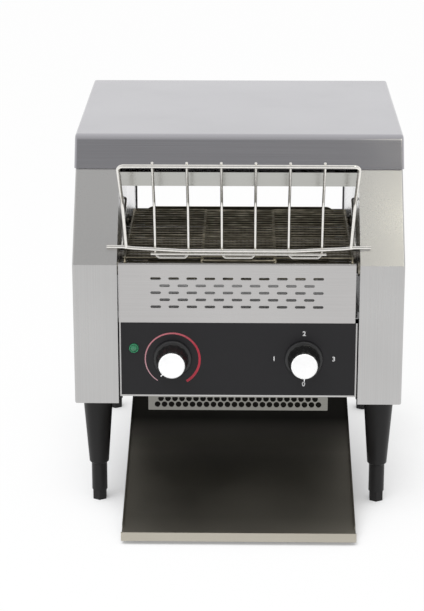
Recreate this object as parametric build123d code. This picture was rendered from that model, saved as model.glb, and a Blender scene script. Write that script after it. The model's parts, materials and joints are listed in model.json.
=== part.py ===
from build123d import *
import os
from math import atan2, cos, degrees, hypot, pi, radians, sin, sqrt, tan

# Countertop conveyor toaster, in millimetres. X runs to the right as seen from the front, Y to the back
# and Z up. Every piece is drawn with y = 0 at the column fronts, and moved on to the origin when it is
# written: the origin lies on the table, below the middle of the toaster from tray lip to cable gland.
# A setback is a distance behind the column fronts, and a reach is a distance in front of them.

# Body
body_width = 368.0  # over the two side columns
body_depth = 394.0  # column fronts to the back of the hood
hood_top = 428.0
column_width = 49.5
column_bottom = 139.0
column_bend = 302.0  # height at which the column fronts start to lean back
sheet = 1.2  # all stainless sheet
fold_radius = 2.2  # outside radius of the folded sheets' bends
panel_edge = 1.1  # rounding of the rear panel's upright edges, which lie in the hood's corners
fit_gap = 0.3  # between sheets that are laid or screwed together
slide_gap = 0.3  # beside anything that slides
run_gap = 0.05  # round a shaft in its bush, radially

# Hood
hood_lip_height = 393.5
hood_lip_setback = 72.5
hood_front_setback = 92.0
hood_fold_radius = 10.0  # of the soft fold from the hood's top to its front
hood_bend_radius = 3.0  # of the hood's other top edges and of its corners

# Front header and upper reflector
header_bottom = 371.5
header_setback = 80.0
header_height = 16.0
header_flange = 14.0
reflector_rear_margin = 16.0
reflector_flange = 10.0

# Front panels
panel_setback = 5.9
fascia_thickness = 0.8
vent_bottom = 233.4
vent_top = 302.2
vent_shift = -1.5  # the vent panel hangs a little to the left
vent_side_gap = 2.5  # from the chamber's side, on average
vent_top_flange = 3.0
vent_bottom_flange = 12.0
slot_length = 11.8
slot_width = 3.0
slot_pitch = 20.1
slot_row_pitch = 8.2
slot_rows = 5
slots_in_long_row = 10
slot_rows_top = 284.8
control_side_gap = 1.3
control_bottom = 145.2
fascia_margin = 1.7
fascia_bottom = 147.4

# Control box
box_depth = 201.0
box_flange = 12.0
shield_rise = 4.9  # of the control box's roof over the vent panel's foot
shield_flange = 8.0
guard_width = 203.0
guard_height = 16.7
guard_flange = 12.0
guard_corner = 1.0
guard_hole = 6.6
guard_pitch = 7.92
guard_lower_holes = 24
guard_edge = 6.85  # lower hole row above the guard's bottom edge

# Rear window, toast guide and chute
window_bottom = 259.5
window_top = 352.0
window_margin = 2.0  # from the chamber's side to the window
guide_width = 245.6
guide_stand_off = 4.1  # guide in front of the rear panel
guide_rise = 4.0  # guide top over the window's lower edge
guide_bend_height = 245.0
guide_bend_radius = 80.0
guide_corner = 12.0
chute_slope = 35.0
chute_setback = 240.0
chute_flange = 12.0
hook_width = 18.0
hook_spacing = 140.0
hook_drop = 9.0

# Toast tray and its carrier
tray_reach = 77.5
tray_low = 3.0  # under the lip, above the table
tray_lip = 12.0
tray_slope = 15.5
tray_rear = 255.0
tray_side_gap = 3.5
tray_shift = 1.5  # the loose tray lies a little to the right
tray_flange = 4.0
tray_flange_start = 24.0
carrier_setback = 205.0
carrier_depth = 20.0
carrier_top = 165.0

# Belt and its shafts
belt_front_setback = 21.0
belt_rear_setback = 220.0
belt_top = 305.5
belt_radius = 12.0  # of the wires' centre line round the shafts
belt_wire_radius = 1.0
belt_pitch = 10.0
belt_side_gap = 6.8
belt_band_width = 3.0
belt_seam = 40.3  # from the belt's middle to each seam between its bays
shaft_radius = 5.0
shaft_end = 7.0  # past the inner plates
wheel_width = 6.0
wheel_inset = 24.0
wheel_teeth = 8
notch_radius = 2.5
bush_radius = 8.0
bush_flange_radius = 12.0
bush_flange = 2.0
bush_length = 8.0
bush_nose = 1.5  # bush standing out into the chamber

# Drive
motor_setback = 150.0
gearbox_radius = 30.0
gearbox_length = 28.0
motor_radius = 26.0
motor_length = 42.0
motor_shaft_radius = 4.0
sprocket_stand_off = 12.0  # from the inner plate to the sprockets
sprocket_width = 4.0
sprocket_teeth = 12
sprocket_hub_radius = 9.0
motor_hole_radius = 10.0
chain_radius = 20.0
chain_thickness = 5.0

# Heating elements
element_radius = 5.0
element_height = 360.0
element_setback = 155.0
element_pitch = 50.0
elements = 3
lower_element_setback = 72.0
element_overhang = 10.0
cap_radius = 8.0
cap_length = 14.0

# Controls
knob_inset = 60.7  # from the chamber's side to a knob's middle
knob_height = 190.8
knob_skirt_radius = 21.6
knob_skirt = 3.5
knob_base_radius = 18.4
knob_tip_radius = 16.8
knob_length = 25.5
knob_clearance = 0.5
knob_cap_radius = 14.7
knob_cap = 1.0
pointer_length = 2.6
pointer_root = 1.0  # of the pointer under the cap's rim
pointer_width = 1.0
pointer_angle = 45.0  # browning pointer, left of straight down
control_shaft_radius = 3.0
control_shaft_depth = 14.0  # inside the knob
control_shaft_tail = 8.0  # behind the control panel
control_hole_gap = 1.0
lamp_inset = 17.5  # from the chamber's side to the lamp's middle
lamp_height = 203.0
lamp_radius = 5.5
lamp_dome = 2.5
lamp_edge = 1.5
lamp_body_radius = 4.0
lamp_body_length = 24.0
regulator_size = 40.0
regulator_depth = 28.0
switch_radius = 19.0
switch_depth = 38.0

# Fan, terminal block and gland
fan_x = -30.0
fan_setback = 110.0
fan_size = 80.0
fan_height = 25.0
fan_bore_radius = 38.0
fan_hub_radius = 17.0
fan_hub_plate = 3.0
fan_strut_width = 4.0
fan_pin_radius = 1.5
fan_tip_gap = 1.0
fan_blades = 7
fan_blade = 1.4
fan_blade_pitch = 38.0
grille_hole = 7.0
grille_ring_pitch = 10.5
grille_rings = 3
gland_inset = 24.0  # from the body's side to the gland's middle
gland_height = 170.0
gland_radius = 9.0
gland_neck_radius = 6.3
gland_nose = 14.0
gland_bore = 4.0
gland_grip = 12.0  # length of the bore that holds the cord
gland_entry = 5.0  # bore radius before the grip
gland_tail = 8.0  # inside the column
gland_nut = 5.0
gland_chamfer = 2.0
terminal_height = 22.0
terminal_length = 50.0
terminal_width = 14.0
terminal_rear_gap = 30.0

# Legs
leg_inset = 22.0  # from the body's side to the leg's middle
leg_front_setback = 54.0
leg_rear_inset = 41.0
leg_top_radius = 18.0
leg_tip_radius = 11.2
leg_chamfer = 1.5
leg_extension = 34.0
foot_height = 12.0
foot_flats = 15.2
tube_radius = 9.0
tube_engagement = 45.0
stud_radius = 4.0
stud_length = 14.0
mount_plate = 3.0
mount_plate_width = 40.0
mount_plate_length = 60.0
nut_flats = 13.0
nut_height = 6.0
bolt_gap = 0.2

# Screws
screw_radius = 2.0
screw_head_radius = 3.8
screw_head = 1.8
screw_length = 8.0
panel_screw_rows = 4
panel_screw_margin = 14.0
hood_screw_margin = 16.0
hood_screw_spacing = 110.0

# Feed rack: heights and setbacks are those of the upright wires' centre lines
rack_bar_radius = 2.0
rack_wire_radius = 1.5
rack_wires = 6
rack_tip_height = 427.7
rack_bar_height = 424.0
rack_top_reach = 35.0
rack_bend_height = 372.0
rack_knee_height = 310.0
rack_knee_setback = 15.9
rack_foot_height = 306.5
rack_foot_setback = 14.4
rack_foot_taper = 4.0
rack_short_bar_height = 311.0
rack_side_gap = 5.2
rack_side_taper = 5.0
rack_stub_height = 319.8
rack_stub_overlap = 11.5  # of each stub over the column face
rack_short_bar_inset = 27.0
rack_corner = 6.0
rack_bend = 30.0  # bend radius where the rack starts to lean forward
rack_knee_bend = 5.0
rack_foot_bend = 2.5
rack_bow = 4.2
rack_bow_shoulder = 1.4  # drop of the lower bar beside its stubs
rack_bow_shoulder_width = 8.0
rack_bow_bend = 60.0
rack_stub_root = 4.0  # straight length of each stub inside the column
pivot_setback = 100.0
pivot_height = 352.0
hook_stand_off = 4.5  # of each hook wire outside the frame, on its stub
hook_spread = 0.5  # of each hook wire from its stub towards the inner plate
hook_bend = 3.0
hook_wire_overlap = 4.0  # of each hook end past the inner plate
weld_sink = 0.4

# Worked out from the sizes above
chamber_half = body_width / 2 - column_width
plate_outer = chamber_half + sheet
inner_half = chamber_half - fit_gap
column_back = body_depth - 2 * (sheet + fit_gap)
column_top = hood_top - max(sheet, hood_bend_radius) - fit_gap
panel_front_y = column_back + fit_gap
panel_back_y = panel_front_y + sheet
hood_grade = (hood_front_setback - hood_lip_setback) / (hood_top - hood_lip_height)
lip_inset = sheet * hypot(1, hood_grade) + fit_gap
column_grade = (hood_lip_setback + lip_inset) / (hood_lip_height - column_bend)
control_front = panel_setback + fascia_thickness
control_back = control_front + sheet
control_top = vent_bottom - fit_gap
floor_top = control_bottom + sheet
belt_axis_height = belt_top - belt_radius - belt_wire_radius
belt_half = chamber_half - belt_side_gap
belt_span = belt_rear_setback - belt_front_setback
wheel_radius = belt_radius - belt_wire_radius - slide_gap
leg_x = body_width / 2 - leg_inset
gland_x = gland_inset - body_width / 2
knob_x = chamber_half - knob_inset
lamp_x = lamp_inset - chamber_half
shield_height = vent_bottom + shield_rise
motor_height = (floor_top + shield_height) / 2
leg_setbacks = (leg_front_setback, body_depth - leg_rear_inset)
foot_travel = leg_extension - 1.0
tray_half = chamber_half - tray_side_gap
tray_grade = tan(radians(tray_slope))
rear_reach = panel_back_y + gland_nose
front_y = (tray_reach - rear_reach) / 2


def block(x, y, z):
    """Box between a pair of limits along each axis."""
    size = [limits[1] - limits[0] for limits in (x, y, z)]
    middle = [(limits[0] + limits[1]) / 2 for limits in (x, y, z)]
    return Pos(*middle) * Box(*size)


def prism(outline, x):
    """Solid between two X limits with a closed (y, z) outline."""
    face = make_face(Polyline(*outline, close=True))
    return extrude(Plane.YZ.offset(x[0]) * face, x[1] - x[0], dir=(1, 0, 0))


def rod_x(radius, x, y, z):
    """Cylinder along X between two limits."""
    return Pos((x[0] + x[1]) / 2, y, z) * Rot(0, 90, 0) * Cylinder(radius, x[1] - x[0])


def rod_y(radius, x, y, z):
    """Cylinder along Y between two limits."""
    return Pos(x, (y[0] + y[1]) / 2, z) * Rot(90, 0, 0) * Cylinder(radius, y[1] - y[0])


def rod_z(radius, x, y, z):
    """Cylinder along Z between two limits."""
    return Pos(x, y, (z[0] + z[1]) / 2) * Cylinder(radius, z[1] - z[0])


def both_sides(shape):
    """The shape and its mirror image in the toaster's middle plane."""
    return [shape, mirror(shape, Plane.YZ)]


def wire(points, radius, bends):
    """Round wire along points, with a bend radius at each inner point."""
    path = FilletPolyline(*points, radius=bends)
    section = Plane(path @ 0, z_dir=path % 0) * Circle(radius)
    return sweep(section, path=path)


def setback_of_column(height):
    """Setback of the column's front face at a height."""
    return max(0.0, height - column_bend) * column_grade


# Casing


def column_outline(inset):
    """(y, z) outline of a side column, drawn in by an inset."""
    bend_inset = inset * (hypot(1, column_grade) - 1) / column_grade
    top = column_top - inset
    front_at_top = setback_of_column(top) + inset * hypot(1, column_grade)
    return [
        (inset, column_bottom + inset),
        (inset, column_bend - bend_inset),
        (front_at_top, top),
        (column_back - inset, top),
        (column_back - inset, column_bottom + inset),
    ]


def side_cover(side):
    """Column of front, lean, top, back, bottom and outer wall in one bent sheet. Side is 1 on the right."""
    outer = prism(column_outline(0), (chamber_half, body_width / 2))
    outer = fillet(outer.faces().sort_by(Axis.X)[-1].edges(), fold_radius)
    hollow = prism(column_outline(sheet), (chamber_half - 1, body_width / 2 - sheet))
    hollow = fillet(hollow.faces().sort_by(Axis.X)[-1].edges(), fold_radius - sheet)
    cover = outer - hollow
    floor = (column_bottom - 1, column_bottom + sheet + 1)
    for setback in leg_setbacks:
        cover -= rod_z(stud_radius + bolt_gap, leg_x, setback, floor)
    through = (column_back - sheet - 1, column_back + 1)
    for x, height in rear_screw_places():
        cover -= rod_y(screw_radius + bolt_gap, abs(x), through, height)
    if side > 0:
        return cover
    hole = rod_y(gland_neck_radius + bolt_gap, gland_x, through, gland_height)
    return mirror(cover, Plane.YZ) - hole


def inner_plate(side):
    """Side wall of the chamber, which carries shafts, elements and rack. Side is 1 on the right."""
    plate = prism(column_outline(sheet + fit_gap), (chamber_half, plate_outer))
    through = (chamber_half - 1, plate_outer + 1)
    for setback in (belt_front_setback, belt_rear_setback):
        plate -= rod_x(bush_radius + run_gap, through, setback, belt_axis_height)
    for setback, height in element_places():
        plate -= rod_x(element_radius + fit_gap, through, setback, height)
    plate -= rod_x(rack_wire_radius + fit_gap, through, pivot_setback, pivot_height)
    if side > 0:
        return plate - rod_x(motor_hole_radius, through, motor_setback, motor_height)
    return mirror(plate, Plane.YZ)


def hood_outline(wall, drop):
    """(y, z) outline of the hood drawn in by its wall, its open foot lowered by a drop."""
    shift = wall * hypot(1, hood_grade)
    low = hood_lip_height - drop
    top = hood_top - wall
    front_low = hood_lip_setback + shift - hood_grade * drop
    front_top = hood_lip_setback + shift + hood_grade * (top - hood_lip_height)
    back = body_depth - wall
    return [(front_low, low), (front_top, top), (back, top), (back, low)]


def round_hood(solid, wall):
    """Round a hood solid's front fold, then its other top edges and its corners, drawn in by its wall."""
    fold = solid.faces().sort_by(Axis.Z)[-1].edges().sort_by(Axis.Y)[0]
    solid = fillet(fold, hood_fold_radius - wall)
    edges = [solid.faces().sort_by(Axis.Z)[-1].edges().sort_by(Axis.Y)[-1]]
    faces = solid.faces().sort_by(Axis.X)
    for side in (faces[0], faces[-1]):
        edges += side.edges().sort_by(Axis.Z)[1:]
    return fillet(edges, hood_bend_radius - wall)


def top_hood():
    """Hood over both columns, open below, with rounded bends."""
    half = body_width / 2 + fit_gap
    outer = round_hood(prism(hood_outline(0, 0), (-half - sheet, half + sheet)), 0)
    hollow = prism(hood_outline(sheet, 1), (-half, half))
    hood = outer - round_hood(hollow, sheet)
    through = (body_depth - sheet - 1, body_depth + 1)
    for x, height in hood_screw_places():
        hood -= rod_y(screw_radius + bolt_gap, x, through, height)
    return hood


def front_header():
    """Band under the hood's lip, with a flange back to the reflector."""
    across = (-inner_half, inner_half)
    top = header_bottom + header_height
    band = block(across, (header_setback, header_setback + sheet), (header_bottom, top))
    depth = (header_setback, header_setback + header_flange)
    return band + block(across, depth, (header_bottom, header_bottom + sheet))


def upper_reflector():
    """Tray-shaped reflector above the upper elements."""
    low = header_bottom + sheet + fit_gap
    depth = (header_setback + sheet + fit_gap, column_back - reflector_rear_margin)
    return channel(depth, low, reflector_flange)


def channel(depth, low, flange, half=None):
    """Flat sheet between the inner plates with both side edges turned up."""
    half = half or inner_half
    part = block((-half, half), depth, (low, low + sheet))
    for x in ((-half, -half + sheet), (half - sheet, half)):
        part += block(x, depth, (low, low + flange))
    return part


def rear_screw_places():
    """(x, height) of the rear panel's screws, in two upright rows."""
    middle = (plate_outer + body_width / 2) / 2
    low = column_bottom + panel_screw_margin
    step = (hood_lip_height - panel_screw_margin - low) / (panel_screw_rows - 1)
    rows = [low + step * row for row in range(panel_screw_rows)]
    return [(x, height) for x in (-middle, middle) for height in rows]


def hood_screw_places():
    """(x, height) of the screws through the hood's rear flange."""
    height = hood_top - hood_screw_margin
    return [(x, height) for x in (-hood_screw_spacing / 2, hood_screw_spacing / 2)]


def rear_panel():
    """Back sheet over both columns, with the window for toast that leaves at the back."""
    half = body_width / 2
    panel = block((-half, half), (panel_front_y, panel_back_y), (column_bottom, column_top))
    panel = fillet(panel.edges().filter_by(Axis.Z).group_by(Axis.Y)[-1], panel_edge)
    through = (panel_front_y - 1, panel_back_y + 1)
    window = (window_margin - chamber_half, chamber_half - window_margin)
    panel -= block(window, through, (window_bottom, window_top))
    for x, height in rear_screw_places() + hood_screw_places():
        panel -= rod_y(screw_radius + bolt_gap, x, through, height)
    panel -= rod_y(gland_neck_radius + bolt_gap, gland_x, through, gland_height)
    return panel


def screw(x, y, height):
    """Pan-head screw with its head behind y and its shank in front."""
    shank = rod_y(screw_radius, x, (y - screw_length, y), height)
    head = rod_y(screw_head_radius, x, (y + run_gap, y + screw_head), height)
    return shank + rod_y(screw_radius, x, (y, y + run_gap), height) + head


def rear_panel_screws():
    """Screws of the rear panel."""
    return [screw(x, panel_back_y, height) for x, height in rear_screw_places()]


def hood_screws():
    """Screws of the hood's rear flange."""
    return [screw(x, body_depth, height) for x, height in hood_screw_places()]


# Front panels and control box


def front_vent_panel():
    """Upper front panel with staggered rows of slots."""
    half = chamber_half - vent_side_gap
    across = (vent_shift - half, vent_shift + half)
    back = panel_setback + sheet
    panel = block(across, (panel_setback, back), (vent_bottom, vent_top))
    panel += block(across, (panel_setback, back + vent_top_flange), (vent_top - sheet, vent_top))
    fold = panel.edges().filter_by(Axis.X).group_by(Axis.Z)[-1].sort_by(Axis.Y)[0]
    panel = fillet(fold, fold_radius - sheet / 2)
    foot = (vent_bottom, vent_bottom + sheet)
    panel += block(across, (panel_setback, panel_setback + vent_bottom_flange), foot)
    slots = []
    for row in range(slot_rows):
        count = slots_in_long_row - row % 2
        height = slot_rows_top - row * slot_row_pitch
        for index in range(count):
            x = (index - (count - 1) / 2) * slot_pitch + vent_shift
            face = Plane.XZ * Pos(x, height) * SlotOverall(slot_length, slot_width)
            slots.append(Pos(0, back + 1, 0) * extrude(face, sheet + 2))
    return panel - slots


def knob_places():
    """X of the browning knob and of the selector knob."""
    return (-knob_x, knob_x)


def cut_controls(panel):
    """Cut the holes for knob shafts and lamp into a front panel."""
    through = (panel_setback - 1, control_back + 1)
    for x in knob_places():
        panel -= rod_y(control_shaft_radius + control_hole_gap, x, through, knob_height)
    return panel - rod_y(lamp_body_radius + bolt_gap, lamp_x, through, lamp_height)


def control_panel():
    """Stainless plate behind the fascia, seen round its edges."""
    half = chamber_half - control_side_gap
    return cut_controls(block((-half, half), (control_front, control_back), (control_bottom, control_top)))


def control_fascia():
    """Black facing glued on the control panel."""
    half = chamber_half - control_side_gap - fascia_margin
    return cut_controls(block((-half, half), (panel_setback, control_front), (fascia_bottom, control_top)))


def base_plate():
    """Floor of the control box, with the fan's grille."""
    depth = (control_back + fit_gap, box_depth + sheet)
    plate = channel(depth, control_bottom, box_flange)
    for ring in range(1, grille_rings + 1):
        for place in PolarLocations(ring * grille_ring_pitch, 6 * ring):
            hole = Cylinder(grille_hole / 2, 3 * sheet)
            plate -= Pos(fan_x, fan_setback, control_bottom + sheet / 2) * place * hole
    return plate


def control_box_back():
    """Rear wall of the control box, flanged to floor and shield."""
    half = inner_half - sheet - fit_gap
    across = (-half, half)
    low = floor_top + fit_gap
    top = shield_height - fit_gap
    wall = block(across, (box_depth, box_depth + sheet), (low, top))
    flange = (box_depth + sheet - box_flange, box_depth + sheet)
    return wall + block(across, flange, (low, low + sheet)) + block(across, flange, (top - sheet, top))


def lower_heat_shield():
    """Roof of the control box, below the belt's lower run."""
    return channel((panel_setback + sheet + fit_gap, box_depth + sheet), shield_height, shield_flange)


def lower_air_guard():
    """Perforated strip hanging from the control box's floor."""
    half = guard_width / 2
    low = control_bottom - fit_gap - guard_height
    front = control_back + fit_gap
    strip = block((-half, half), (front, front + sheet), (low, control_bottom - fit_gap))
    corners = strip.edges().filter_by(Axis.Y).group_by(Axis.Z)[0]
    strip = fillet(corners, guard_corner)
    for row in range(2):
        count = guard_lower_holes - row
        height = low + guard_edge + row * guard_pitch * sqrt(3) / 2
        for index in range(count):
            x = (index - (count - 1) / 2) * guard_pitch
            strip -= rod_y(guard_hole / 2, x, (front - 1, front + sheet + 1), height)
    top = control_bottom - fit_gap
    return strip + block((-half, half), (front, front + guard_flange), (top - sheet, top))


# Toast guide, chute and tray


def guide_bend():
    """(y, z) of the guide's bend centre and of the bend's end, on the toast's side."""
    centre = (panel_front_y - guide_stand_off - sheet - guide_bend_radius, guide_bend_height)
    turn = radians(90 - chute_slope)
    end = (centre[0] + guide_bend_radius * cos(turn), centre[1] - guide_bend_radius * sin(turn))
    return centre, end


def rear_toast_guide():
    """Curved sheet behind the belt that turns falling toast forward, hooked over the window's edge."""
    centre, _ = guide_bend()
    half = guide_width / 2
    front = centre[0] + guide_bend_radius
    top = window_bottom + guide_rise
    upright = block((-half, half), (front, front + sheet), (centre[1], top))
    corners = upright.edges().filter_by(Axis.Y).group_by(Axis.Z)[-1]
    upright = fillet(corners, guide_corner)
    far = 2 * guide_bend_radius
    turn = radians(90 - chute_slope)
    wedge = [
        centre,
        (centre[0] + far, centre[1]),
        (centre[0] + far, centre[1] - far),
        (centre[0] + far * cos(turn), centre[1] - far * sin(turn)),
    ]
    ring = rod_x(guide_bend_radius + sheet, (-half, half), *centre)
    ring -= rod_x(guide_bend_radius, (-half - 1, half + 1), *centre)
    guide = upright + (ring & prism(wedge, (-half, half)))
    hook_y = panel_back_y + fit_gap + sheet
    low = window_bottom + fit_gap
    high = low + sheet
    for x in (-hook_spacing / 2, hook_spacing / 2):
        across = (x - hook_width / 2, x + hook_width / 2)
        guide += block(across, (front, hook_y), (low, high))
        guide += block(across, (hook_y - sheet, hook_y), (high - hook_drop, high))
    return guide


def toast_chute():
    """Straight slope from the guide down to the tray."""
    _, end = guide_bend()
    along = Vector(-cos(radians(chute_slope)), -sin(radians(chute_slope)))
    under = Vector(-along.Y, along.X) * sheet
    rim = Vector(along.Y, -along.X) * chute_flange
    start = Vector(*end) + along * slide_gap
    foot = start + along * ((chute_setback - start.X) / along.X)
    slope = [start, foot, foot + under, start + under]
    side = [start + under, foot + under, foot + rim, start + rim]
    chute = prism([(point.X, point.Y) for point in slope], (-inner_half, inner_half))
    for x in ((-inner_half, -inner_half + sheet), (inner_half - sheet, inner_half)):
        chute += prism([(point.X, point.Y) for point in side], x)
    return chute


def tray_under(setback):
    """Height of the tray's underside at a setback."""
    return tray_low + (setback + tray_reach) * tray_grade


def toast_tray():
    """Sloping tray with an upturned lip and low side flanges."""
    across = (tray_shift - tray_half, tray_shift + tray_half)
    rise = sheet * hypot(1, tray_grade)
    lip_back = -tray_reach + sheet
    outline = [
        (-tray_reach, tray_low),
        (tray_rear, tray_under(tray_rear)),
        (tray_rear, tray_under(tray_rear) + rise),
        (lip_back, tray_under(lip_back) + rise),
        (lip_back, tray_low + tray_lip),
        (-tray_reach, tray_low + tray_lip),
    ]
    tray = prism(outline, across)
    fold = tray.edges().filter_by(Axis.X).group_by(Axis.Z)[0]
    tray = fillet(fold, fold_radius)
    crease = [edge for edge in tray.edges().filter_by(Axis.X) if abs(edge.center().Y - lip_back) < fit_gap]
    tray = fillet(sorted(crease, key=lambda edge: edge.center().Z)[0], fold_radius - sheet)
    start = -tray_reach + tray_flange_start
    flange = [
        (start - tray_flange, tray_under(start - tray_flange)),
        (tray_rear, tray_under(tray_rear)),
        (tray_rear, tray_under(tray_rear) + tray_flange),
        (start, tray_under(start) + tray_flange),
    ]
    for x in ((across[0], across[0] + sheet), (across[1] - sheet, across[1])):
        tray += prism(flange, x)
    return tray


def tray_carrier():
    """Strap under the tray, its ends turned up against the inner plates."""
    front = carrier_setback
    back = carrier_setback + carrier_depth
    drop = slide_gap + sheet * hypot(1, tray_grade)
    strap = [
        (front, tray_under(front) - drop),
        (back, tray_under(back) - drop),
        (back, tray_under(back) - slide_gap),
        (front, tray_under(front) - slide_gap),
    ]
    carrier = prism(strap, (-inner_half, inner_half))
    wall = [strap[0], strap[1], (back, carrier_top), (front, carrier_top)]
    for x in ((-inner_half, -inner_half + sheet), (inner_half - sheet, inner_half)):
        carrier += prism(wall, x)
    return carrier


# Belt and drive


def belt_places():
    """(y, z) of every belt wire, evenly spaced round the loop."""
    arc = pi * belt_radius
    loop = 2 * belt_span + 2 * arc
    count = round(loop / belt_pitch)
    places = []
    for index in range(count):
        run = loop * index / count
        if run < belt_span:
            places.append((belt_front_setback + run, belt_axis_height + belt_radius))
        elif run < belt_span + arc:
            turn = (run - belt_span) / belt_radius
            y = belt_rear_setback + belt_radius * sin(turn)
            places.append((y, belt_axis_height + belt_radius * cos(turn)))
        elif run < 2 * belt_span + arc:
            y = belt_rear_setback - (run - belt_span - arc)
            places.append((y, belt_axis_height - belt_radius))
        else:
            turn = (run - 2 * belt_span - arc) / belt_radius
            y = belt_front_setback - belt_radius * sin(turn)
            places.append((y, belt_axis_height - belt_radius * cos(turn)))
    return places


def conveyor_belt():
    """Ladder of cross wires held by four bands of links: two at the edges and two between the bays."""
    edge = belt_half - belt_band_width / 2
    middle = (belt_front_setback + belt_rear_setback) / 2
    thickness = belt_wire_radius
    outer = SlotCenterToCenter(belt_span, 2 * belt_radius + thickness)
    ring = outer - SlotCenterToCenter(belt_span, 2 * belt_radius - thickness)
    pieces = []
    for x in (-edge, -belt_seam, belt_seam, edge):
        plane = Plane.YZ.offset(x - belt_band_width / 2) * Pos(middle, belt_axis_height)
        pieces.append(extrude(plane * ring, belt_band_width, dir=(1, 0, 0)))
    for y, z in belt_places():
        pieces.append(rod_x(belt_wire_radius, (-belt_half, belt_half), y, z))
    return pieces[0] + pieces[1:]


def toothed_disc(radius, width, bore, teeth):
    """Wheel about X with rounded notches between its teeth, centred on its own middle."""
    wheel = Rot(0, 90, 0) * (Cylinder(radius, width) - Cylinder(bore, 2 * width))
    notch = Rot(0, 90, 0) * Cylinder(notch_radius, 2 * width)
    for index in range(teeth):
        turn = 2 * pi * index / teeth
        wheel -= Pos(0, radius * sin(turn), radius * cos(turn)) * notch
    return wheel


def belt_wheels(setback):
    """Four toothed wheels on one belt shaft, inside the belt's bays."""
    outer = belt_half - wheel_inset
    inner = belt_seam - wheel_inset
    wheel = toothed_disc(wheel_radius, wheel_width, shaft_radius + run_gap, wheel_teeth)
    return [Pos(x, setback, belt_axis_height) * wheel for x in (-outer, -inner, inner, outer)]


def belt_shaft(setback, right_end):
    """Shaft of the belt, through both bushes."""
    return rod_x(shaft_radius, (-plate_outer - shaft_end, right_end), setback, belt_axis_height)


def shaft_bushes():
    """Flanged bushes of both shafts, seated on the outer faces of the inner plates."""
    bushes = []
    for setback in (belt_front_setback, belt_rear_setback):
        span = (chamber_half - bush_nose, chamber_half - bush_nose + bush_length)
        bush = rod_x(bush_radius, span, setback, belt_axis_height)
        flange = (plate_outer, plate_outer + bush_flange)
        bush += rod_x(bush_flange_radius, flange, setback, belt_axis_height)
        bush -= rod_x(shaft_radius + run_gap, (span[0] - 1, span[1] + 1), setback, belt_axis_height)
        bushes += both_sides(bush)
    return bushes


def sprocket_span():
    """X limits of both sprockets and of the chain."""
    start = plate_outer + sprocket_stand_off
    return (start, start + sprocket_width)


def drive_sprocket(setback, height, bore):
    """Chain sprocket with a hub on its outer side."""
    span = sprocket_span()
    radius = chain_radius - slide_gap
    middle = (span[0] + span[1]) / 2
    disc = toothed_disc(radius, sprocket_width, bore, sprocket_teeth)
    wheel = Pos(middle, setback, height) * disc
    hub = rod_x(sprocket_hub_radius, (span[1], span[1] + sprocket_width), setback, height)
    return wheel + (hub - rod_x(bore, (span[0], span[1] + 2 * sprocket_width), setback, height))


def drive_chain():
    """Endless chain round both sprockets."""
    rise = belt_axis_height - motor_height
    reach = belt_rear_setback - motor_setback
    distance = hypot(rise, reach)
    middle = ((belt_rear_setback + motor_setback) / 2, (belt_axis_height + motor_height) / 2)
    ring = SlotCenterToCenter(distance, 2 * (chain_radius + chain_thickness))
    ring -= SlotCenterToCenter(distance, 2 * chain_radius)
    span = sprocket_span()
    place = Pos(*middle) * Rot(0, 0, degrees(atan2(rise, reach)))
    return extrude(Plane.YZ.offset(span[0]) * place * ring, sprocket_width, dir=(1, 0, 0))


def drive_motor():
    """Gear motor fixed to the right inner plate, inside the control box."""
    face = inner_half
    back = face - gearbox_length
    body = rod_x(gearbox_radius, (back, face), motor_setback, motor_height)
    body += rod_x(motor_radius, (back - motor_length, back), motor_setback, motor_height)
    bore = (face - gearbox_length / 2 - run_gap, face + 1)
    return body - rod_x(motor_shaft_radius + run_gap, bore, motor_setback, motor_height)


def motor_shaft():
    """Output shaft of the gear motor."""
    span = (inner_half - gearbox_length / 2, sprocket_span()[1] + sprocket_width)
    return rod_x(motor_shaft_radius, span, motor_setback, motor_height)


# Heating elements


def upper_element_places():
    """(y, z) of the elements above the belt."""
    return [(element_setback + index * element_pitch, element_height) for index in range(elements)]


def lower_element_places():
    """(y, z) of the elements inside the belt's loop."""
    return [(lower_element_setback + index * element_pitch, belt_axis_height) for index in range(elements)]


def element_places():
    """(y, z) of all heating elements."""
    return upper_element_places() + lower_element_places()


def heating_elements(places):
    """Quartz tubes that pass through both inner plates."""
    end = plate_outer + element_overhang
    return [rod_x(element_radius, (-end, end), y, z) for y, z in places]


def element_end_caps():
    """Ceramic caps over the tube ends, seated on the outer faces of the inner plates."""
    caps = []
    for y, z in element_places():
        cap = rod_x(cap_radius, (plate_outer, plate_outer + cap_length), y, z)
        bore = (plate_outer - 1, plate_outer + element_overhang + run_gap)
        caps += both_sides(cap - rod_x(element_radius + run_gap, bore, y, z))
    return caps


# Controls


def knob(x):
    """Knob with a thin skirt, a tapered body and a blind bore for its shaft."""
    back = panel_setback - knob_clearance
    skirt = rod_y(knob_skirt_radius, x, (back - knob_skirt, back), knob_height)
    rim = skirt.edges().group_by(Axis.Y)[0]
    skirt = chamfer(rim, knob_skirt / 3)
    length = knob_length - knob_skirt - knob_clearance - knob_cap
    cone = Rot(90, 0, 0) * Cone(knob_base_radius, knob_tip_radius, length)
    body = skirt + Pos(x, back - knob_skirt - length / 2, knob_height) * cone
    bore = (back - control_shaft_depth, back + 1)
    return body - rod_y(control_shaft_radius + run_gap, x, bore, knob_height)


def knob_cap_disc(x, angle):
    """White cap on a knob's end, with a pointer at an angle clockwise from straight down."""
    front = panel_setback - knob_length
    cap = rod_y(knob_cap_radius, x, (front, front + knob_cap), knob_height)
    half = pointer_width / 2
    base = knob_cap_radius - pointer_root
    tip = knob_cap_radius + pointer_length
    line = make_face(Polyline((-half, -base), (-half, -tip), (half, -tip), (half, -base), close=True))
    pointer = extrude(Plane.XZ * Rot(0, 0, -angle) * line, knob_cap)
    return cap + Pos(x, front + knob_cap, knob_height) * pointer


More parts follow.
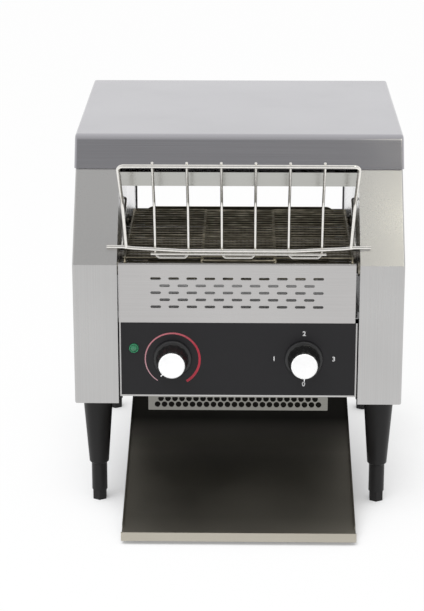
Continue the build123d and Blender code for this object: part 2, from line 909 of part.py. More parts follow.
def control_shaft(x):
    """Shaft from a control into its knob."""
    front = panel_setback - knob_clearance - control_shaft_depth + run_gap
    return rod_y(control_shaft_radius, x, (front, control_back + control_shaft_tail), knob_height)


def speed_regulator():
    """Belt speed control behind the browning knob."""
    x = knob_places()[0]
    half = regulator_size / 2
    front = control_back + fit_gap
    height = (knob_height - half, knob_height + half)
    body = block((x - half, x + half), (front, front + regulator_depth), height)
    bore = (front - 1, control_back + control_shaft_tail + run_gap)
    return body - rod_y(control_shaft_radius + run_gap, x, bore, knob_height)


def selector_switch():
    """Rotary switch behind the selector knob."""
    x = knob_places()[1]
    front = control_back + fit_gap
    body = rod_y(switch_radius, x, (front, front + switch_depth), knob_height)
    bore = (front - 1, control_back + control_shaft_tail + run_gap)
    return body - rod_y(control_shaft_radius + run_gap, x, bore, knob_height)


def indicator_lamp():
    """Lamp body through fascia and panel."""
    return rod_y(lamp_body_radius, lamp_x, (panel_setback, panel_setback + lamp_body_length), lamp_height)


def indicator_lens():
    """Green lens on the fascia, slightly domed."""
    disc = rod_y(lamp_radius, lamp_x, (panel_setback - lamp_dome, panel_setback), lamp_height)
    return fillet(disc.edges().group_by(Axis.Y)[0], lamp_edge)


# Fan, terminal block and gland


def fan_frame():
    """Square fan frame with a hub plate on four struts."""
    low = floor_top + fit_gap
    top = low + fan_height
    plate_top = low + fan_hub_plate
    half = fan_size / 2
    frame = block((fan_x - half, fan_x + half), (fan_setback - half, fan_setback + half), (low, top))
    frame -= rod_z(fan_bore_radius, fan_x, fan_setback, (low - 1, top + 1))
    frame += rod_z(fan_hub_radius, fan_x, fan_setback, (low, plate_top))
    strut = Box(2 * fan_bore_radius + 2, fan_strut_width, fan_hub_plate)
    for turn in (45, 135):
        frame += Pos(fan_x, fan_setback, (low + plate_top) / 2) * Rot(0, 0, turn) * strut
    return frame + rod_z(fan_pin_radius, fan_x, fan_setback, (plate_top, low + fan_height / 2))


def fan_rotor():
    """Hub and blades that turn on the frame's pin."""
    frame_low = floor_top + fit_gap
    low = frame_low + fan_hub_plate + slide_gap
    top = frame_low + fan_height - fan_tip_gap
    rotor = rod_z(fan_hub_radius, fan_x, fan_setback, (low, top))
    root = fan_hub_radius - 1
    reach = fan_bore_radius - fan_tip_gap - root
    height = (top - low) / cos(radians(fan_blade_pitch)) * 0.75
    blade = Rot(fan_blade_pitch, 0, 0) * Box(reach, fan_blade, height)
    blade = Pos(root + reach / 2, 0, (low + top) / 2) * blade
    for index in range(fan_blades):
        rotor += Pos(fan_x, fan_setback, 0) * Rot(0, 0, 360 * index / fan_blades) * blade
    bore = (low - 1, frame_low + fan_height / 2 + slide_gap)
    return rotor - rod_z(fan_pin_radius + run_gap, fan_x, fan_setback, bore)


def terminal_block():
    """Mains terminals on the outer face of the left inner plate, beside the gland."""
    start = plate_outer + fit_gap
    back = column_back - terminal_rear_gap
    height = (gland_height - terminal_height / 2, gland_height + terminal_height / 2)
    return block((-start - terminal_width, -start), (back - terminal_length, back), height)


def cable_gland():
    """Gland through the rear panel: nut inside, flange and dome outside, open for the cord."""
    inside = column_back - sheet - fit_gap
    tail = inside - gland_tail
    nose = panel_back_y + gland_nose
    gland = rod_y(gland_neck_radius, gland_x, (tail, panel_back_y + 1), gland_height)
    gland += rod_y(gland_radius, gland_x, (panel_back_y + run_gap, nose), gland_height)
    gland += rod_y(gland_radius, gland_x, (inside - gland_nut, inside), gland_height)
    gland = chamfer(gland.edges().group_by(Axis.Y)[-1], gland_chamfer)
    gland -= rod_y(gland_entry, gland_x, (tail - 1, nose - gland_grip), gland_height)
    return gland - rod_y(gland_bore, gland_x, (tail, nose + 1), gland_height)


# Legs


def leg_places():
    """(x, y) of the legs by name."""
    front, rear = leg_setbacks
    return {
        "front_left": (-leg_x, front),
        "front_right": (leg_x, front),
        "rear_left": (-leg_x, rear),
        "rear_right": (leg_x, rear),
    }


def hexagon_post(flats, x, y, z):
    """Hexagonal post between two heights."""
    face = Rot(0, 0, 30) * RegularPolygon(flats / 2, 6, major_radius=False)
    return Pos(x, y, z[0]) * extrude(face, z[1] - z[0])


def leg_sleeve(x, y):
    """Tapered plastic sleeve with a stud on top and a bore for the foot's tube."""
    low = foot_height + leg_extension
    length = column_bottom - low
    sleeve = Pos(x, y, low + length / 2) * Cone(leg_tip_radius, leg_top_radius, length)
    sleeve = chamfer(sleeve.edges().group_by(Axis.Z)[0], leg_chamfer)
    sleeve += rod_z(stud_radius, x, y, (column_bottom, column_bottom + stud_length))
    depth = tube_engagement + foot_travel + 1
    return sleeve - rod_z(tube_radius + slide_gap, x, y, (low - 1, low + depth))


def adjustable_foot(x, y):
    """Tube with a hexagonal foot."""
    top = foot_height + leg_extension + tube_engagement
    foot = hexagon_post(foot_flats, x, y, (0, foot_height))
    return foot + rod_z(tube_radius, x, y, (foot_height, top))


def leg_mounting_plates():
    """Plates inside the columns that spread the legs' load."""
    low = column_bottom + sheet + fit_gap
    plates = []
    for x, y in leg_places().values():
        half = mount_plate_width / 2
        depth = (y - mount_plate_length / 2, y + mount_plate_length / 2)
        plate = block((x - half, x + half), depth, (low, low + mount_plate))
        plates.append(plate - rod_z(stud_radius + bolt_gap, x, y, (low - 1, low + mount_plate + 1)))
    return plates


def leg_nuts():
    """Nuts on the legs' studs."""
    low = column_bottom + sheet + fit_gap + mount_plate
    nuts = []
    for x, y in leg_places().values():
        nut = hexagon_post(nut_flats, x, y, (low, low + nut_height))
        nuts.append(nut - rod_z(stud_radius + run_gap, x, y, (low - 1, low + nut_height + 1)))
    return nuts


# Feed rack


def rack_points(x_top, x_low):
    """Centre line of an upright wire from its tip down to its knee."""
    lean = rack_top_reach / (rack_bar_height - rack_bend_height)
    tip = -(rack_tip_height - rack_bend_height) * lean
    return [
        (x_top, tip, rack_tip_height),
        (x_top, 0, rack_bend_height),
        (x_low, rack_knee_setback, rack_knee_height),
    ]


def rack_hairpin(left, right):
    """Two upright wires and the foot that joins them, bent from one wire."""
    foot_left = (left + rack_foot_taper, rack_foot_setback, rack_foot_height)
    foot_right = (right - rack_foot_taper, rack_foot_setback, rack_foot_height)
    up = list(reversed(rack_points(right, right)))
    points = rack_points(left, left) + [foot_left, foot_right] + up
    bends = [rack_bend, rack_knee_bend, rack_foot_bend]
    return wire(points, rack_wire_radius, bends + bends[::-1])


def wire_feed_rack():
    """Feed rack: bent frame, bowed lower bar with resting stubs, short bar, hairpins and two hook wires."""
    top_half = chamber_half - rack_side_gap
    low_half = top_half - rack_side_taper
    weld = rack_bar_radius + rack_wire_radius - weld_sink
    bar_y = stub_setback()
    frame_knee = (low_half, bar_y, rack_stub_height)
    frame_bend = (low_half + rack_side_taper / 2, -weld, rack_bend_height)
    frame_top = (top_half, -rack_top_reach - weld, rack_bar_height)
    right = [frame_knee, frame_bend, frame_top]
    left = [(-x, y, z) for x, y, z in reversed(right)]
    frame = wire(right + left, rack_bar_radius, [rack_bend, rack_corner, rack_corner, rack_bend])

    half_bar = [
        (chamber_half + rack_stub_overlap, bar_y, rack_stub_height),
        (low_half + rack_stub_root, bar_y, rack_stub_height),
        (low_half - rack_bow_shoulder_width, bar_y, rack_stub_height - rack_bow_shoulder),
        (low_half / 2, bar_y, rack_stub_height - rack_bow),
    ]
    bar = half_bar + [(-x, y, z) for x, y, z in reversed(half_bar)]
    bends = [rack_corner, rack_corner, rack_bow_bend]
    lower_bar = wire(bar, rack_bar_radius, bends + bends[::-1])

    short_half = low_half - rack_short_bar_inset
    short_y = rack_knee_setback - 2 * rack_wire_radius + weld_sink
    short_bar = rod_x(rack_wire_radius, (-short_half, short_half), short_y, rack_short_bar_height)

    pitch = 2 * top_half / (rack_wires + 1)
    first = -pitch * (rack_wires - 1) / 2
    places = [first + pitch * index for index in range(rack_wires)]
    hairpins = [rack_hairpin(places[i], places[i + 1]) for i in range(0, rack_wires, 2)]

    hook_x = low_half + hook_stand_off
    hook = [
        (hook_x, bar_y, rack_stub_height),
        (hook_x + hook_spread, pivot_setback, pivot_height),
        (plate_outer + hook_wire_overlap, pivot_setback, pivot_height),
    ]
    hooks = both_sides(wire(hook, rack_wire_radius, [hook_bend]))
    return frame + [lower_bar, short_bar] + hairpins + hooks


def stub_setback():
    """Setback of the lower bar, whose stubs rest on the leaning column faces."""
    off = (rack_bar_radius + fit_gap) * hypot(1, column_grade)
    return setback_of_column(rack_stub_height) - off


def build():
    """Every piece by its node name."""
    motor_bore = motor_shaft_radius + run_gap
    shaft_bore = shaft_radius + run_gap
    idle_end = plate_outer + shaft_end
    driven_end = sprocket_span()[1] + sprocket_width
    browning_x, selector_x = knob_places()
    nodes = {
        "left_side_cover": side_cover(-1),
        "right_side_cover": side_cover(1),
        "left_inner_plate": inner_plate(-1),
        "right_inner_plate": inner_plate(1),
        "top_hood": top_hood(),
        "front_header": front_header(),
        "upper_reflector": upper_reflector(),
        "rear_panel": rear_panel(),
        "rear_panel_screws": rear_panel_screws(),
        "hood_screws": hood_screws(),
        "front_vent_panel": front_vent_panel(),
        "control_panel": control_panel(),
        "control_fascia": control_fascia(),
        "base_plate": base_plate(),
        "control_box_back": control_box_back(),
        "lower_heat_shield": lower_heat_shield(),
        "lower_air_guard": lower_air_guard(),
        "rear_toast_guide": rear_toast_guide(),
        "toast_chute": toast_chute(),
        "toast_tray": toast_tray(),
        "tray_carrier": tray_carrier(),
        "wire_feed_rack": wire_feed_rack(),
        "conveyor_belt": conveyor_belt(),
        "front_belt_shaft": belt_shaft(belt_front_setback, idle_end),
        "rear_belt_shaft": belt_shaft(belt_rear_setback, driven_end),
        "front_belt_wheels": belt_wheels(belt_front_setback),
        "rear_belt_wheels": belt_wheels(belt_rear_setback),
        "shaft_bushes": shaft_bushes(),
        "shaft_sprocket": drive_sprocket(belt_rear_setback, belt_axis_height, shaft_bore),
        "motor_sprocket": drive_sprocket(motor_setback, motor_height, motor_bore),
        "drive_chain": drive_chain(),
        "drive_motor": drive_motor(),
        "motor_shaft": motor_shaft(),
        "upper_heating_elements": heating_elements(upper_element_places()),
        "lower_heating_elements": heating_elements(lower_element_places()),
        "element_end_caps": element_end_caps(),
        "browning_knob": knob(browning_x),
        "browning_knob_cap": knob_cap_disc(browning_x, pointer_angle),
        "browning_shaft": control_shaft(browning_x),
        "selector_knob": knob(selector_x),
        "selector_knob_cap": knob_cap_disc(selector_x, 0),
        "selector_shaft": control_shaft(selector_x),
        "speed_regulator": speed_regulator(),
        "selector_switch": selector_switch(),
        "indicator_lamp": indicator_lamp(),
        "indicator_lens": indicator_lens(),
        "fan_frame": fan_frame(),
        "fan_rotor": fan_rotor(),
        "terminal_block": terminal_block(),
        "cable_gland": cable_gland(),
        "leg_mounting_plates": leg_mounting_plates(),
        "leg_nuts": leg_nuts(),
    }
    for name, (x, y) in leg_places().items():
        nodes[name + "_leg"] = leg_sleeve(x, y)
        nodes[name + "_foot"] = adjustable_foot(x, y)
    return nodes


def main():
    """Write each node as one STEP file, placed on the origin."""
    os.makedirs("parts", exist_ok=True)
    for name, shape in build().items():
        if isinstance(shape, list):
            shape = Compound(shape)
        export_step(Pos(0, front_y, 0) * shape, f"parts/{name}.step")


if __name__ == "__main__":
    main()
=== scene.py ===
"""Looks of a countertop conveyor toaster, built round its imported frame.

Lengths are in metres along the frame's axes: X to the right, Y to the back and Z up.
"""

import json
import logging
import math
import random
from abc import ABC, abstractmethod
from dataclasses import dataclass
from enum import Enum
from typing import Iterable, Sequence

import bmesh
import bpy
from mathutils import Matrix, Vector

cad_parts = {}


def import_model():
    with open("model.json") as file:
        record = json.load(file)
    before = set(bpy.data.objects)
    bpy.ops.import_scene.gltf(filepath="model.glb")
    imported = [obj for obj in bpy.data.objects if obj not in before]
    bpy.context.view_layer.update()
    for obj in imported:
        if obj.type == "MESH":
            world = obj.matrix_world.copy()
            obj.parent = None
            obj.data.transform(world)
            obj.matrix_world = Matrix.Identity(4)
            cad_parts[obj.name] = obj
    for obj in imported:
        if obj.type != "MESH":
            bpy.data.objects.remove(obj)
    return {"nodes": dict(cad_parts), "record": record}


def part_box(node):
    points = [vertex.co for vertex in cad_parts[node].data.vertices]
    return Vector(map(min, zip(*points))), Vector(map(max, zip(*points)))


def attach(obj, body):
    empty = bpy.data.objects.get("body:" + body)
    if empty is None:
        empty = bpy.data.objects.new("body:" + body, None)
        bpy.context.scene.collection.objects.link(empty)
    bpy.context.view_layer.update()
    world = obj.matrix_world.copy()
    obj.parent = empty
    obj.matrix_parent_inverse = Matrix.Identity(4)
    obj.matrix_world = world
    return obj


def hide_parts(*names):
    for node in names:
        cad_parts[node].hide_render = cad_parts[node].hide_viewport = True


MM = 0.001
WHITE = (1.0, 1.0, 1.0)
LEAST_LEFT = 0.9  # share of a piece's volume that a sound cut leaves
Triple = tuple[float, float, float]
Stops = tuple[tuple[float, float], ...]

log = logging.getLogger("conveyor_toaster")


# Material graphs


def set_stops(ramp: bpy.types.ColorRamp, stops: Sequence[tuple[float, float]]) -> None:
    """Set a ramp's greys.

    Args:
        ramp: a new ramp, with its two stops at 0 and 1.
        stops: (position, grey) in rising order, from position 0 to position 1.
    """
    for position, _ in stops[1:-1]:
        ramp.elements.new(position)
    for element, (_, grey) in zip(ramp.elements, stops):
        element.color = (grey, grey, grey, 1.0)


class Shader:
    """Node graph of one material, grown round a Principled surface."""

    def __init__(self, name: str) -> None:
        """Start the material.

        Args:
            name: what the material is called.
        """
        self.material = bpy.data.materials.new(name)
        self.material.use_nodes = True
        self.tree = self.material.node_tree
        self.tree.nodes.clear()
        self.surface = self.add("ShaderNodeBsdfPrincipled")
        self.output = self.add("ShaderNodeOutputMaterial")
        self.tree.links.new(self.surface.outputs["BSDF"], self.output.inputs["Surface"])

    def feed(self, node: bpy.types.Node, name: str | int, value: object) -> None:
        """Link a socket to an input, or set the input to a plain value.

        Args:
            node: the node that takes the value.
            name: the input's name or number.
            value: a socket, a number or a colour.
        """
        if isinstance(value, bpy.types.NodeSocket):
            self.tree.links.new(value, node.inputs[name])
        elif isinstance(value, tuple) and node.inputs[name].type == "RGBA":
            node.inputs[name].default_value = (*value, 1.0)
        else:
            node.inputs[name].default_value = value

    def add(self, kind: str, inputs: dict | None = None, **settings: object) -> bpy.types.Node:
        """Add a node.

        Args:
            kind: Blender's name of the node type.
            inputs: values or sockets by input name.
            settings: the node's own properties.

        Returns:
            The new node.
        """
        node = self.tree.nodes.new(kind)
        for name, value in settings.items():
            setattr(node, name, value)
        for name, value in (inputs or {}).items():
            self.feed(node, name, value)
        return node

    def place(self, scale: Triple) -> bpy.types.NodeSocket:
        """Give the surface's own coordinates, scaled along each axis."""
        source = self.add("ShaderNodeTexCoord").outputs["Object"]
        return self.add("ShaderNodeMapping", {"Vector": source, "Scale": scale}).outputs["Vector"]

    def noise(self, scale: Triple, detail: float = 2.0) -> bpy.types.NodeSocket:
        """Give noise with its own scale along each axis."""
        inputs = {"Vector": self.place(scale), "Scale": 1.0, "Detail": detail}
        return self.add("ShaderNodeTexNoise", inputs).outputs["Fac"]

    def remap(
        self, value: bpy.types.NodeSocket, low: float, high: float, start: float = 0.3, end: float = 0.7
    ) -> bpy.types.NodeSocket:
        """Stretch a value.

        Args:
            value: the socket to stretch.
            low: result at start.
            high: result at end.
            start: value that gives low.
            end: value that gives high.

        Returns:
            The stretched value, held between low and high.
        """
        limits = {"From Min": start, "From Max": end, "To Min": low, "To Max": high}
        return self.add("ShaderNodeMapRange", {"Value": value, **limits}).outputs["Result"]

    def blend(self, share: bpy.types.NodeSocket, first: object, second: object) -> bpy.types.NodeSocket:
        """Mix two colours.

        Args:
            share: the second colour's share, from 0 to 1.
            first: a colour or a socket.
            second: a colour or a socket.

        Returns:
            The mixed colour.
        """
        node = self.add("ShaderNodeMix", data_type="RGBA")
        colours = [socket for socket in node.inputs if socket.type == "RGBA"]
        self.feed(node, 0, share)
        for socket, colour in zip(colours, (first, second)):
            if isinstance(colour, tuple):
                socket.default_value = (*colour, 1.0)
            else:
                self.tree.links.new(colour, socket)
        return [socket for socket in node.outputs if socket.type == "RGBA"][0]

    def along_depth(self, stops: Sequence[tuple[float, float]]) -> bpy.types.NodeSocket:
        """Give a value that changes from front to back.

        Args:
            stops: (Y, value) in rising order, with values from 0 to 1.

        Returns:
            The value.
        """
        front, back = stops[0][0], stops[-1][0]
        place = self.add("ShaderNodeSeparateXYZ", {"Vector": self.place((1.0, 1.0, 1.0))}).outputs["Y"]
        node = self.add("ShaderNodeValToRGB", {"Fac": self.remap(place, 0.0, 1.0, front, back)})
        set_stops(node.color_ramp, [((depth - front) / (back - front), value) for depth, value in stops])
        return node.outputs["Color"]

    def relief(self, height: bpy.types.NodeSocket, depth: float) -> None:
        """Raise the surface by a height map of a depth in metres."""
        bump = self.add("ShaderNodeBump", {"Height": height, "Distance": depth, "Strength": 1.0})
        self.feed(self.surface, "Normal", bump.outputs["Normal"])

    def surface_inputs(self, **values: object) -> None:
        """Set or link the surface's inputs, with their names in lower case and _ for a space.

        Args:
            values: values or sockets by input name.
        """
        for name, value in values.items():
            match = [
                socket.name for socket in self.surface.inputs if socket.name.lower().replace(" ", "_") == name
            ]
            self.feed(self.surface, match[0], value)


# Finishes


def scaled(colour: Triple, share: float) -> Triple:
    """Give a colour with each channel times a share, held at 1."""
    return tuple(min(1.0, channel * share) for channel in colour)


@dataclass(frozen=True)
class Finish(ABC):
    """A surface finish, with its name and its colour in linear light."""

    name: str
    colour: Triple
    roughness: float = 0.3

    @abstractmethod
    def paint(self, shader: Shader) -> None:
        """Build the finish in a material's graph."""

    def material(self) -> bpy.types.Material:
        """Give the finish's material, made once.

        Returns:
            The material.
        """
        label = self.name + "_finish"
        made = bpy.data.materials.get(label)
        if made is None:
            shader = Shader(label)
            self.paint(shader)
            made = shader.material
        return made


class Grain(Enum):
    """Way in which a sheet was brushed, as its noise scale along each axis."""

    ACROSS = (5.0, 1500.0, 1500.0)
    UPRIGHT = (1500.0, 1500.0, 5.0)
    DEEP = (1500.0, 5.0, 1500.0)


@dataclass(frozen=True)
class BrushedSheet(Finish):
    """Brushed stainless sheet with fine streaks and faint handling marks."""

    grain: Grain = Grain.ACROSS
    streak: float = 0.05
    mottle: float = 0.05
    relief_depth: float = 6e-6
    stain: Triple = (0.5, 0.42, 0.3)
    stained: float = 0.0
    # near-black colour of the painted shade that darkens a sheet along its depth
    soot: Triple = (0.008, 0.007, 0.005)
    clean: Stops = ()  # Y, and the share of the sheet's own colour that the painted shade leaves there

    def paint(self, shader: Shader) -> None:
        """Build streaks, marks, an even blush of heat stain, and painted shade that darkens the sheet along
        its depth.

        Args:
            shader: the material's graph.
        """
        streaks = shader.noise(self.grain.value, 3.0)
        marks = shader.noise((11.0, 11.0, 11.0), 3.0)
        light = shader.remap(streaks, 0.0, 1.0)
        dark_tone = scaled(self.colour, 1 - self.streak)
        light_tone = scaled(self.colour, 1 + self.streak)
        colour = shader.blend(light, dark_tone, light_tone)
        blush = shader.remap(marks, 0.0, self.mottle + self.stained)
        colour = shader.blend(blush, colour, self.stain if self.stained else scaled(self.colour, 0.8))
        # painted shade: the colour fades towards a near-black one along the sheet's depth
        if self.clean:
            colour = shader.blend(shader.along_depth(self.clean), self.soot, colour)
        rough = shader.remap(streaks, self.roughness - 0.04, self.roughness + 0.04)
        patches = shader.remap(marks, -0.03, 0.05)
        total = shader.add("ShaderNodeMath", {0: rough, 1: patches}, operation="ADD")
        shader.surface_inputs(base_color=colour, metallic=1.0, roughness=total.outputs[0])
        shader.relief(streaks, self.relief_depth)


@dataclass(frozen=True)
class PlatedWire(Finish):
    """Bright plated wire, a little uneven."""

    def paint(self, shader: Shader) -> None:
        """Build a bright metal with soft ripples.

        Args:
            shader: the material's graph.
        """
        ripples = shader.noise((260.0, 260.0, 260.0))
        colour = shader.blend(shader.remap(ripples, 0.0, 1.0), scaled(self.colour, 0.9), self.colour)
        rough = shader.remap(ripples, self.roughness - 0.03, self.roughness + 0.05)
        shader.surface_inputs(base_color=colour, metallic=1.0, roughness=rough)
        shader.relief(ripples, 1.5e-5)


@dataclass(frozen=True)
class BurntWire(Finish):
    """Steel wire browned by heat, with paler worn stretches."""

    worn: Triple = (0.2, 0.18, 0.14)
    pale: float = 1.0  # times the colour where the painted highlight is full
    thin_scale: Stops = ()  # Y, and the share of painted highlight there

    def paint(self, shader: Shader) -> None:
        """Build the brown scale, the worn stretches, and a painted highlight that pales the wire along its
        depth.

        Args:
            shader: the material's graph.
        """
        scale = shader.noise((70.0, 240.0, 240.0), 4.0)
        wear = shader.remap(scale, 0.0, 1.0, 0.45, 0.72)
        colour = shader.blend(wear, self.colour, self.worn)
        # painted highlight: the wire is made paler by depth
        if self.thin_scale:
            pale = shader.blend(wear, scaled(self.colour, self.pale), scaled(self.worn, self.pale))
            colour = shader.blend(shader.along_depth(self.thin_scale), colour, pale)
        rough = shader.remap(scale, self.roughness + 0.12, self.roughness - 0.05)
        shader.surface_inputs(base_color=colour, metallic=0.85, roughness=rough)
        shader.relief(scale, 3e-5)


@dataclass(frozen=True)
class TurnedMetal(Finish):
    """Machined or cast metal with a fine tooled texture."""

    def paint(self, shader: Shader) -> None:
        """Build fine tooling and an uneven tone.

        Args:
            shader: the material's graph.
        """
        tooling = shader.noise((900.0, 160.0, 160.0))
        tone = shader.noise((30.0, 30.0, 30.0), 3.0)
        colour = shader.blend(shader.remap(tone, 0.0, 1.0), scaled(self.colour, 0.8), self.colour)
        rough = shader.remap(tooling, self.roughness - 0.05, self.roughness + 0.08)
        shader.surface_inputs(base_color=colour, metallic=1.0, roughness=rough)
        shader.relief(tooling, 1e-5)


@dataclass(frozen=True)
class Moulding(Finish):
    """Moulded or coated surface with a fine grain, and paler where it is handled."""

    grain_depth: float = 2e-5
    grain_scale: float = 1400.0
    handled: float = 1.35
    gloss: float = 0.5

    def paint(self, shader: Shader) -> None:
        """Build the moulded grain and the handling marks.

        Args:
            shader: the material's graph.
        """
        grain = shader.noise((self.grain_scale,) * 3)
        marks = shader.noise((24.0, 24.0, 24.0), 4.0)
        share = shader.remap(marks, 0.0, 1.0, 0.4, 0.75)
        colour = shader.blend(share, self.colour, scaled(self.colour, self.handled))
        rough = shader.remap(marks, self.roughness - 0.05, self.roughness + 0.06)
        shader.surface_inputs(base_color=colour, roughness=rough, specular_ior_level=self.gloss)
        shader.relief(grain, self.grain_depth)


@dataclass(frozen=True)
class PilotGlass(Finish):
    """Coloured lens that glows a little from the lamp behind it."""

    glow: float = 0.08

    def paint(self, shader: Shader) -> None:
        """Build the ribbed coloured lens.

        Args:
            shader: the material's graph.
        """
        ribs = shader.noise((800.0, 800.0, 800.0))
        colour = shader.blend(shader.remap(ribs, 0.0, 1.0), scaled(self.colour, 0.7), self.colour)
        shader.surface_inputs(base_color=colour, emission_color=colour, roughness=self.roughness)
        shader.surface_inputs(emission_strength=self.glow, coat_weight=0.6, coat_roughness=0.08)
        shader.relief(ribs, 6e-5)


@dataclass(frozen=True)
class QuartzTube(Finish):
    """Milky quartz with the coil inside showing as darker turns."""

    coil: Triple = (0.06, 0.05, 0.04)
    turns_per_metre: float = 420.0

    def paint(self, shader: Shader) -> None:
        """Build the milky glass and the coil's turns.

        Args:
            shader: the material's graph.
        """
        place = shader.place((self.turns_per_metre, 0.0, 0.0))
        inputs = {"Vector": place, "Scale": 1 / (2 * math.pi)}
        wave = shader.add("ShaderNodeTexWave", inputs, wave_profile="SIN")
        share = shader.remap(wave.outputs["Fac"], 0.0, 0.7, 0.55, 0.95)
        colour = shader.blend(share, self.colour, self.coil)
        shader.surface_inputs(base_color=colour, roughness=self.roughness, coat_weight=0.7)
        shader.relief(shader.noise((500.0, 500.0, 500.0)), 1e-5)


@dataclass(frozen=True)
class RampInk(Finish):
    """Printed ink that changes colour round a centre on an upright face."""

    strong: Triple = (0.4, 0.015, 0.035)
    centre: Triple = (0.0, 0.0, 0.0)

    def paint(self, shader: Shader) -> None:
        """Build a ramp by the angle round the centre, from straight down and clockwise.

        Args:
            shader: the material's graph.
        """
        source = shader.add("ShaderNodeTexCoord").outputs["Object"]
        offset = shader.add("ShaderNodeVectorMath", {0: source, 1: self.centre}, operation="SUBTRACT")
        parts = shader.add("ShaderNodeSeparateXYZ", {"Vector": offset.outputs["Vector"]})
        sides = {0: parts.outputs["X"], 1: parts.outputs["Z"]}
        angle = shader.add("ShaderNodeMath", sides, operation="ARCTAN2")
        share = shader.remap(angle.outputs[0], 0.0, 1.0, -math.pi * 0.75, math.pi * 0.35)
        colour = shader.blend(share, self.colour, self.strong)
        shader.surface_inputs(base_color=colour, roughness=self.roughness)
        shader.relief(shader.noise((1200.0, 1200.0, 1200.0)), 6e-6)


COLUMN_STEEL = BrushedSheet("stainless_upright_grain", (0.55, 0.545, 0.54), 0.3, grain=Grain.UPRIGHT)
HOOD_STEEL = BrushedSheet("hood_steel", (0.455, 0.45, 0.475), 0.16)
PANEL_STEEL = BrushedSheet("stainless_cross_grain", (0.55, 0.54, 0.535), 0.3)
# painted shade on the tray: full colour only at its front edge, about half from there to the middle, and near
# black towards the back under the control box
TRAY_STEEL = BrushedSheet(
    "stainless_tray", (0.54, 0.51, 0.44), 0.46, grain=Grain.DEEP,
    clean=((-0.2412, 1.0), (-0.2406, 0.57), (-0.2, 0.43), (-0.15, 0.5), (-0.085, 0.5), (-0.02, 0.02)),
)
WALL_STEEL = BrushedSheet("chamber_wall", (0.86, 0.86, 0.87), 0.25, grain=Grain.DEEP, streak=0.02)
HEADER_STEEL = BrushedSheet("header_steel", (0.48, 0.48, 0.455), 0.14, streak=0.03, mottle=0.08)
GUARD_STEEL = BrushedSheet("guard_steel", (0.25, 0.245, 0.225), 0.3, mottle=0.1)
SCORCHED_STEEL = BrushedSheet(
    "scorched_steel", (0.2, 0.18, 0.125), 0.35, stained=0.3, stain=(0.22, 0.17, 0.1)
)
# painted shade: near-black steel, darker than the sheet is, for the base plate, the chute and the tray
# carrier, which the tray mirrors dark
PAINTED_SHADE_STEEL = BrushedSheet("sooty_steel", (0.02, 0.018, 0.015), 0.5, stained=0.3, stain=(0.03, 0.025, 0.02))
INNER_STEEL = BrushedSheet("inner_steel", (0.3, 0.3, 0.3), 0.35, mottle=0.15)
RACK_PLATING = PlatedWire("rack_plating", (0.9, 0.88, 0.84), 0.12)
# painted highlight on the belt: paler at its front bend and towards its back, plain between
BELT_WIRE = BurntWire(
    "belt_wire", (0.1, 0.09, 0.067), 0.4, worn=(0.22, 0.2, 0.155), pale=3.7,
    thin_scale=((-0.158, 1.0), (-0.148, 0.8), (-0.135, 0.0), (-0.1, 0.0), (0.05, 1.0)),
)
HOT_STEEL = BurntWire("heat_darkened_steel", (0.05, 0.045, 0.035), 0.4, worn=(0.12, 0.1, 0.08))
TURNED_STEEL = TurnedMetal("turned_steel", (0.5, 0.5, 0.5), 0.3)
SCREW_STEEL = TurnedMetal("screw_steel", (0.6, 0.6, 0.6), 0.22)
BUSH_BRONZE = TurnedMetal("bush_bronze", (0.4, 0.37, 0.31), 0.35)
MOTOR_ENAMEL = Moulding("motor_enamel", (0.06, 0.06, 0.065), 0.35, grain_depth=3e-5, grain_scale=500.0)
FASCIA_FILM = Moulding(
    "fascia_film", (0.0095, 0.009, 0.0105), 0.36, grain_depth=4e-6, handled=1.15, gloss=0.3
)
KNOB_BLACK = Moulding("knob_black", (0.009, 0.009, 0.009), 0.27, grain_depth=8e-6)
KNOB_RING = Moulding("knob_ring", (0.014, 0.014, 0.015), 0.3, grain_depth=8e-6)
KNOB_WHITE = Moulding("knob_white", (0.96, 0.96, 0.96), 0.3, grain_depth=3e-6, handled=1.01)
LEG_PLASTIC = Moulding("leg_plastic", (0.008, 0.0075, 0.0075), 0.42, grain_depth=2.5e-5, gloss=0.3)
INNER_PLASTIC = Moulding("inner_plastic", (0.02, 0.02, 0.02), 0.5)
CERAMIC = Moulding("ceramic", (0.78, 0.75, 0.68), 0.6, grain_depth=4e-5, grain_scale=700.0, handled=1.1)
QUARTZ = QuartzTube("quartz", (0.18, 0.165, 0.14), 0.25)
LENS_GREEN = PilotGlass("lens_green", (0.011, 0.18, 0.078), 0.2)
PRINT_WHITE = Moulding("print_white", (0.62, 0.62, 0.62), 0.5, grain_depth=3e-6, handled=1.0)


# Mesh tools


def to_object(
    name: str, mesh_data: bmesh.types.BMesh, finish: Finish, sharp: float = 38.0
) -> bpy.types.Object:
    """Turn a finished bmesh into an object in the scene.

    Args:
        name: the piece's name.
        mesh_data: the shape, which is freed.
        finish: what it is finished in.
        sharp: smallest angle of a hard edge, in degrees.

    Returns:
        The new object, at the origin.
    """
    bmesh.ops.recalc_face_normals(mesh_data, faces=mesh_data.faces)
    mesh = bpy.data.meshes.new(name)
    mesh_data.to_mesh(mesh)
    mesh_data.free()
    mesh.materials.append(finish.material())
    mesh.shade_smooth()
    mesh.set_sharp_from_angle(angle=math.radians(sharp))
    made = bpy.data.objects.new(name, mesh)
    bpy.context.scene.collection.objects.link(made)
    return made


def crosswise(axis: Vector) -> tuple[Vector, Vector]:
    """Give two unit vectors at right angles to an axis and to each other."""
    first = axis.orthogonal().normalized()
    return first, axis.cross(first).normalized()


def bridge_rings(mesh_data: bmesh.types.BMesh, rings: Sequence[Sequence[bmesh.types.BMVert]]) -> None:
    """Join each ring of vertices to the next, where a ring of one vertex is a point.

    Args:
        mesh_data: the shape that holds the rings.
        rings: the rings, in order.
    """
    for near, far in zip(rings, rings[1:]):
        count = max(len(near), len(far))
        for index in range(count):
            after = (index + 1) % count
            corners = [near[index % len(near)], near[after % len(near)]]
            corners += [far[after % len(far)], far[index % len(far)]]
            mesh_data.faces.new(list(dict.fromkeys(corners)))


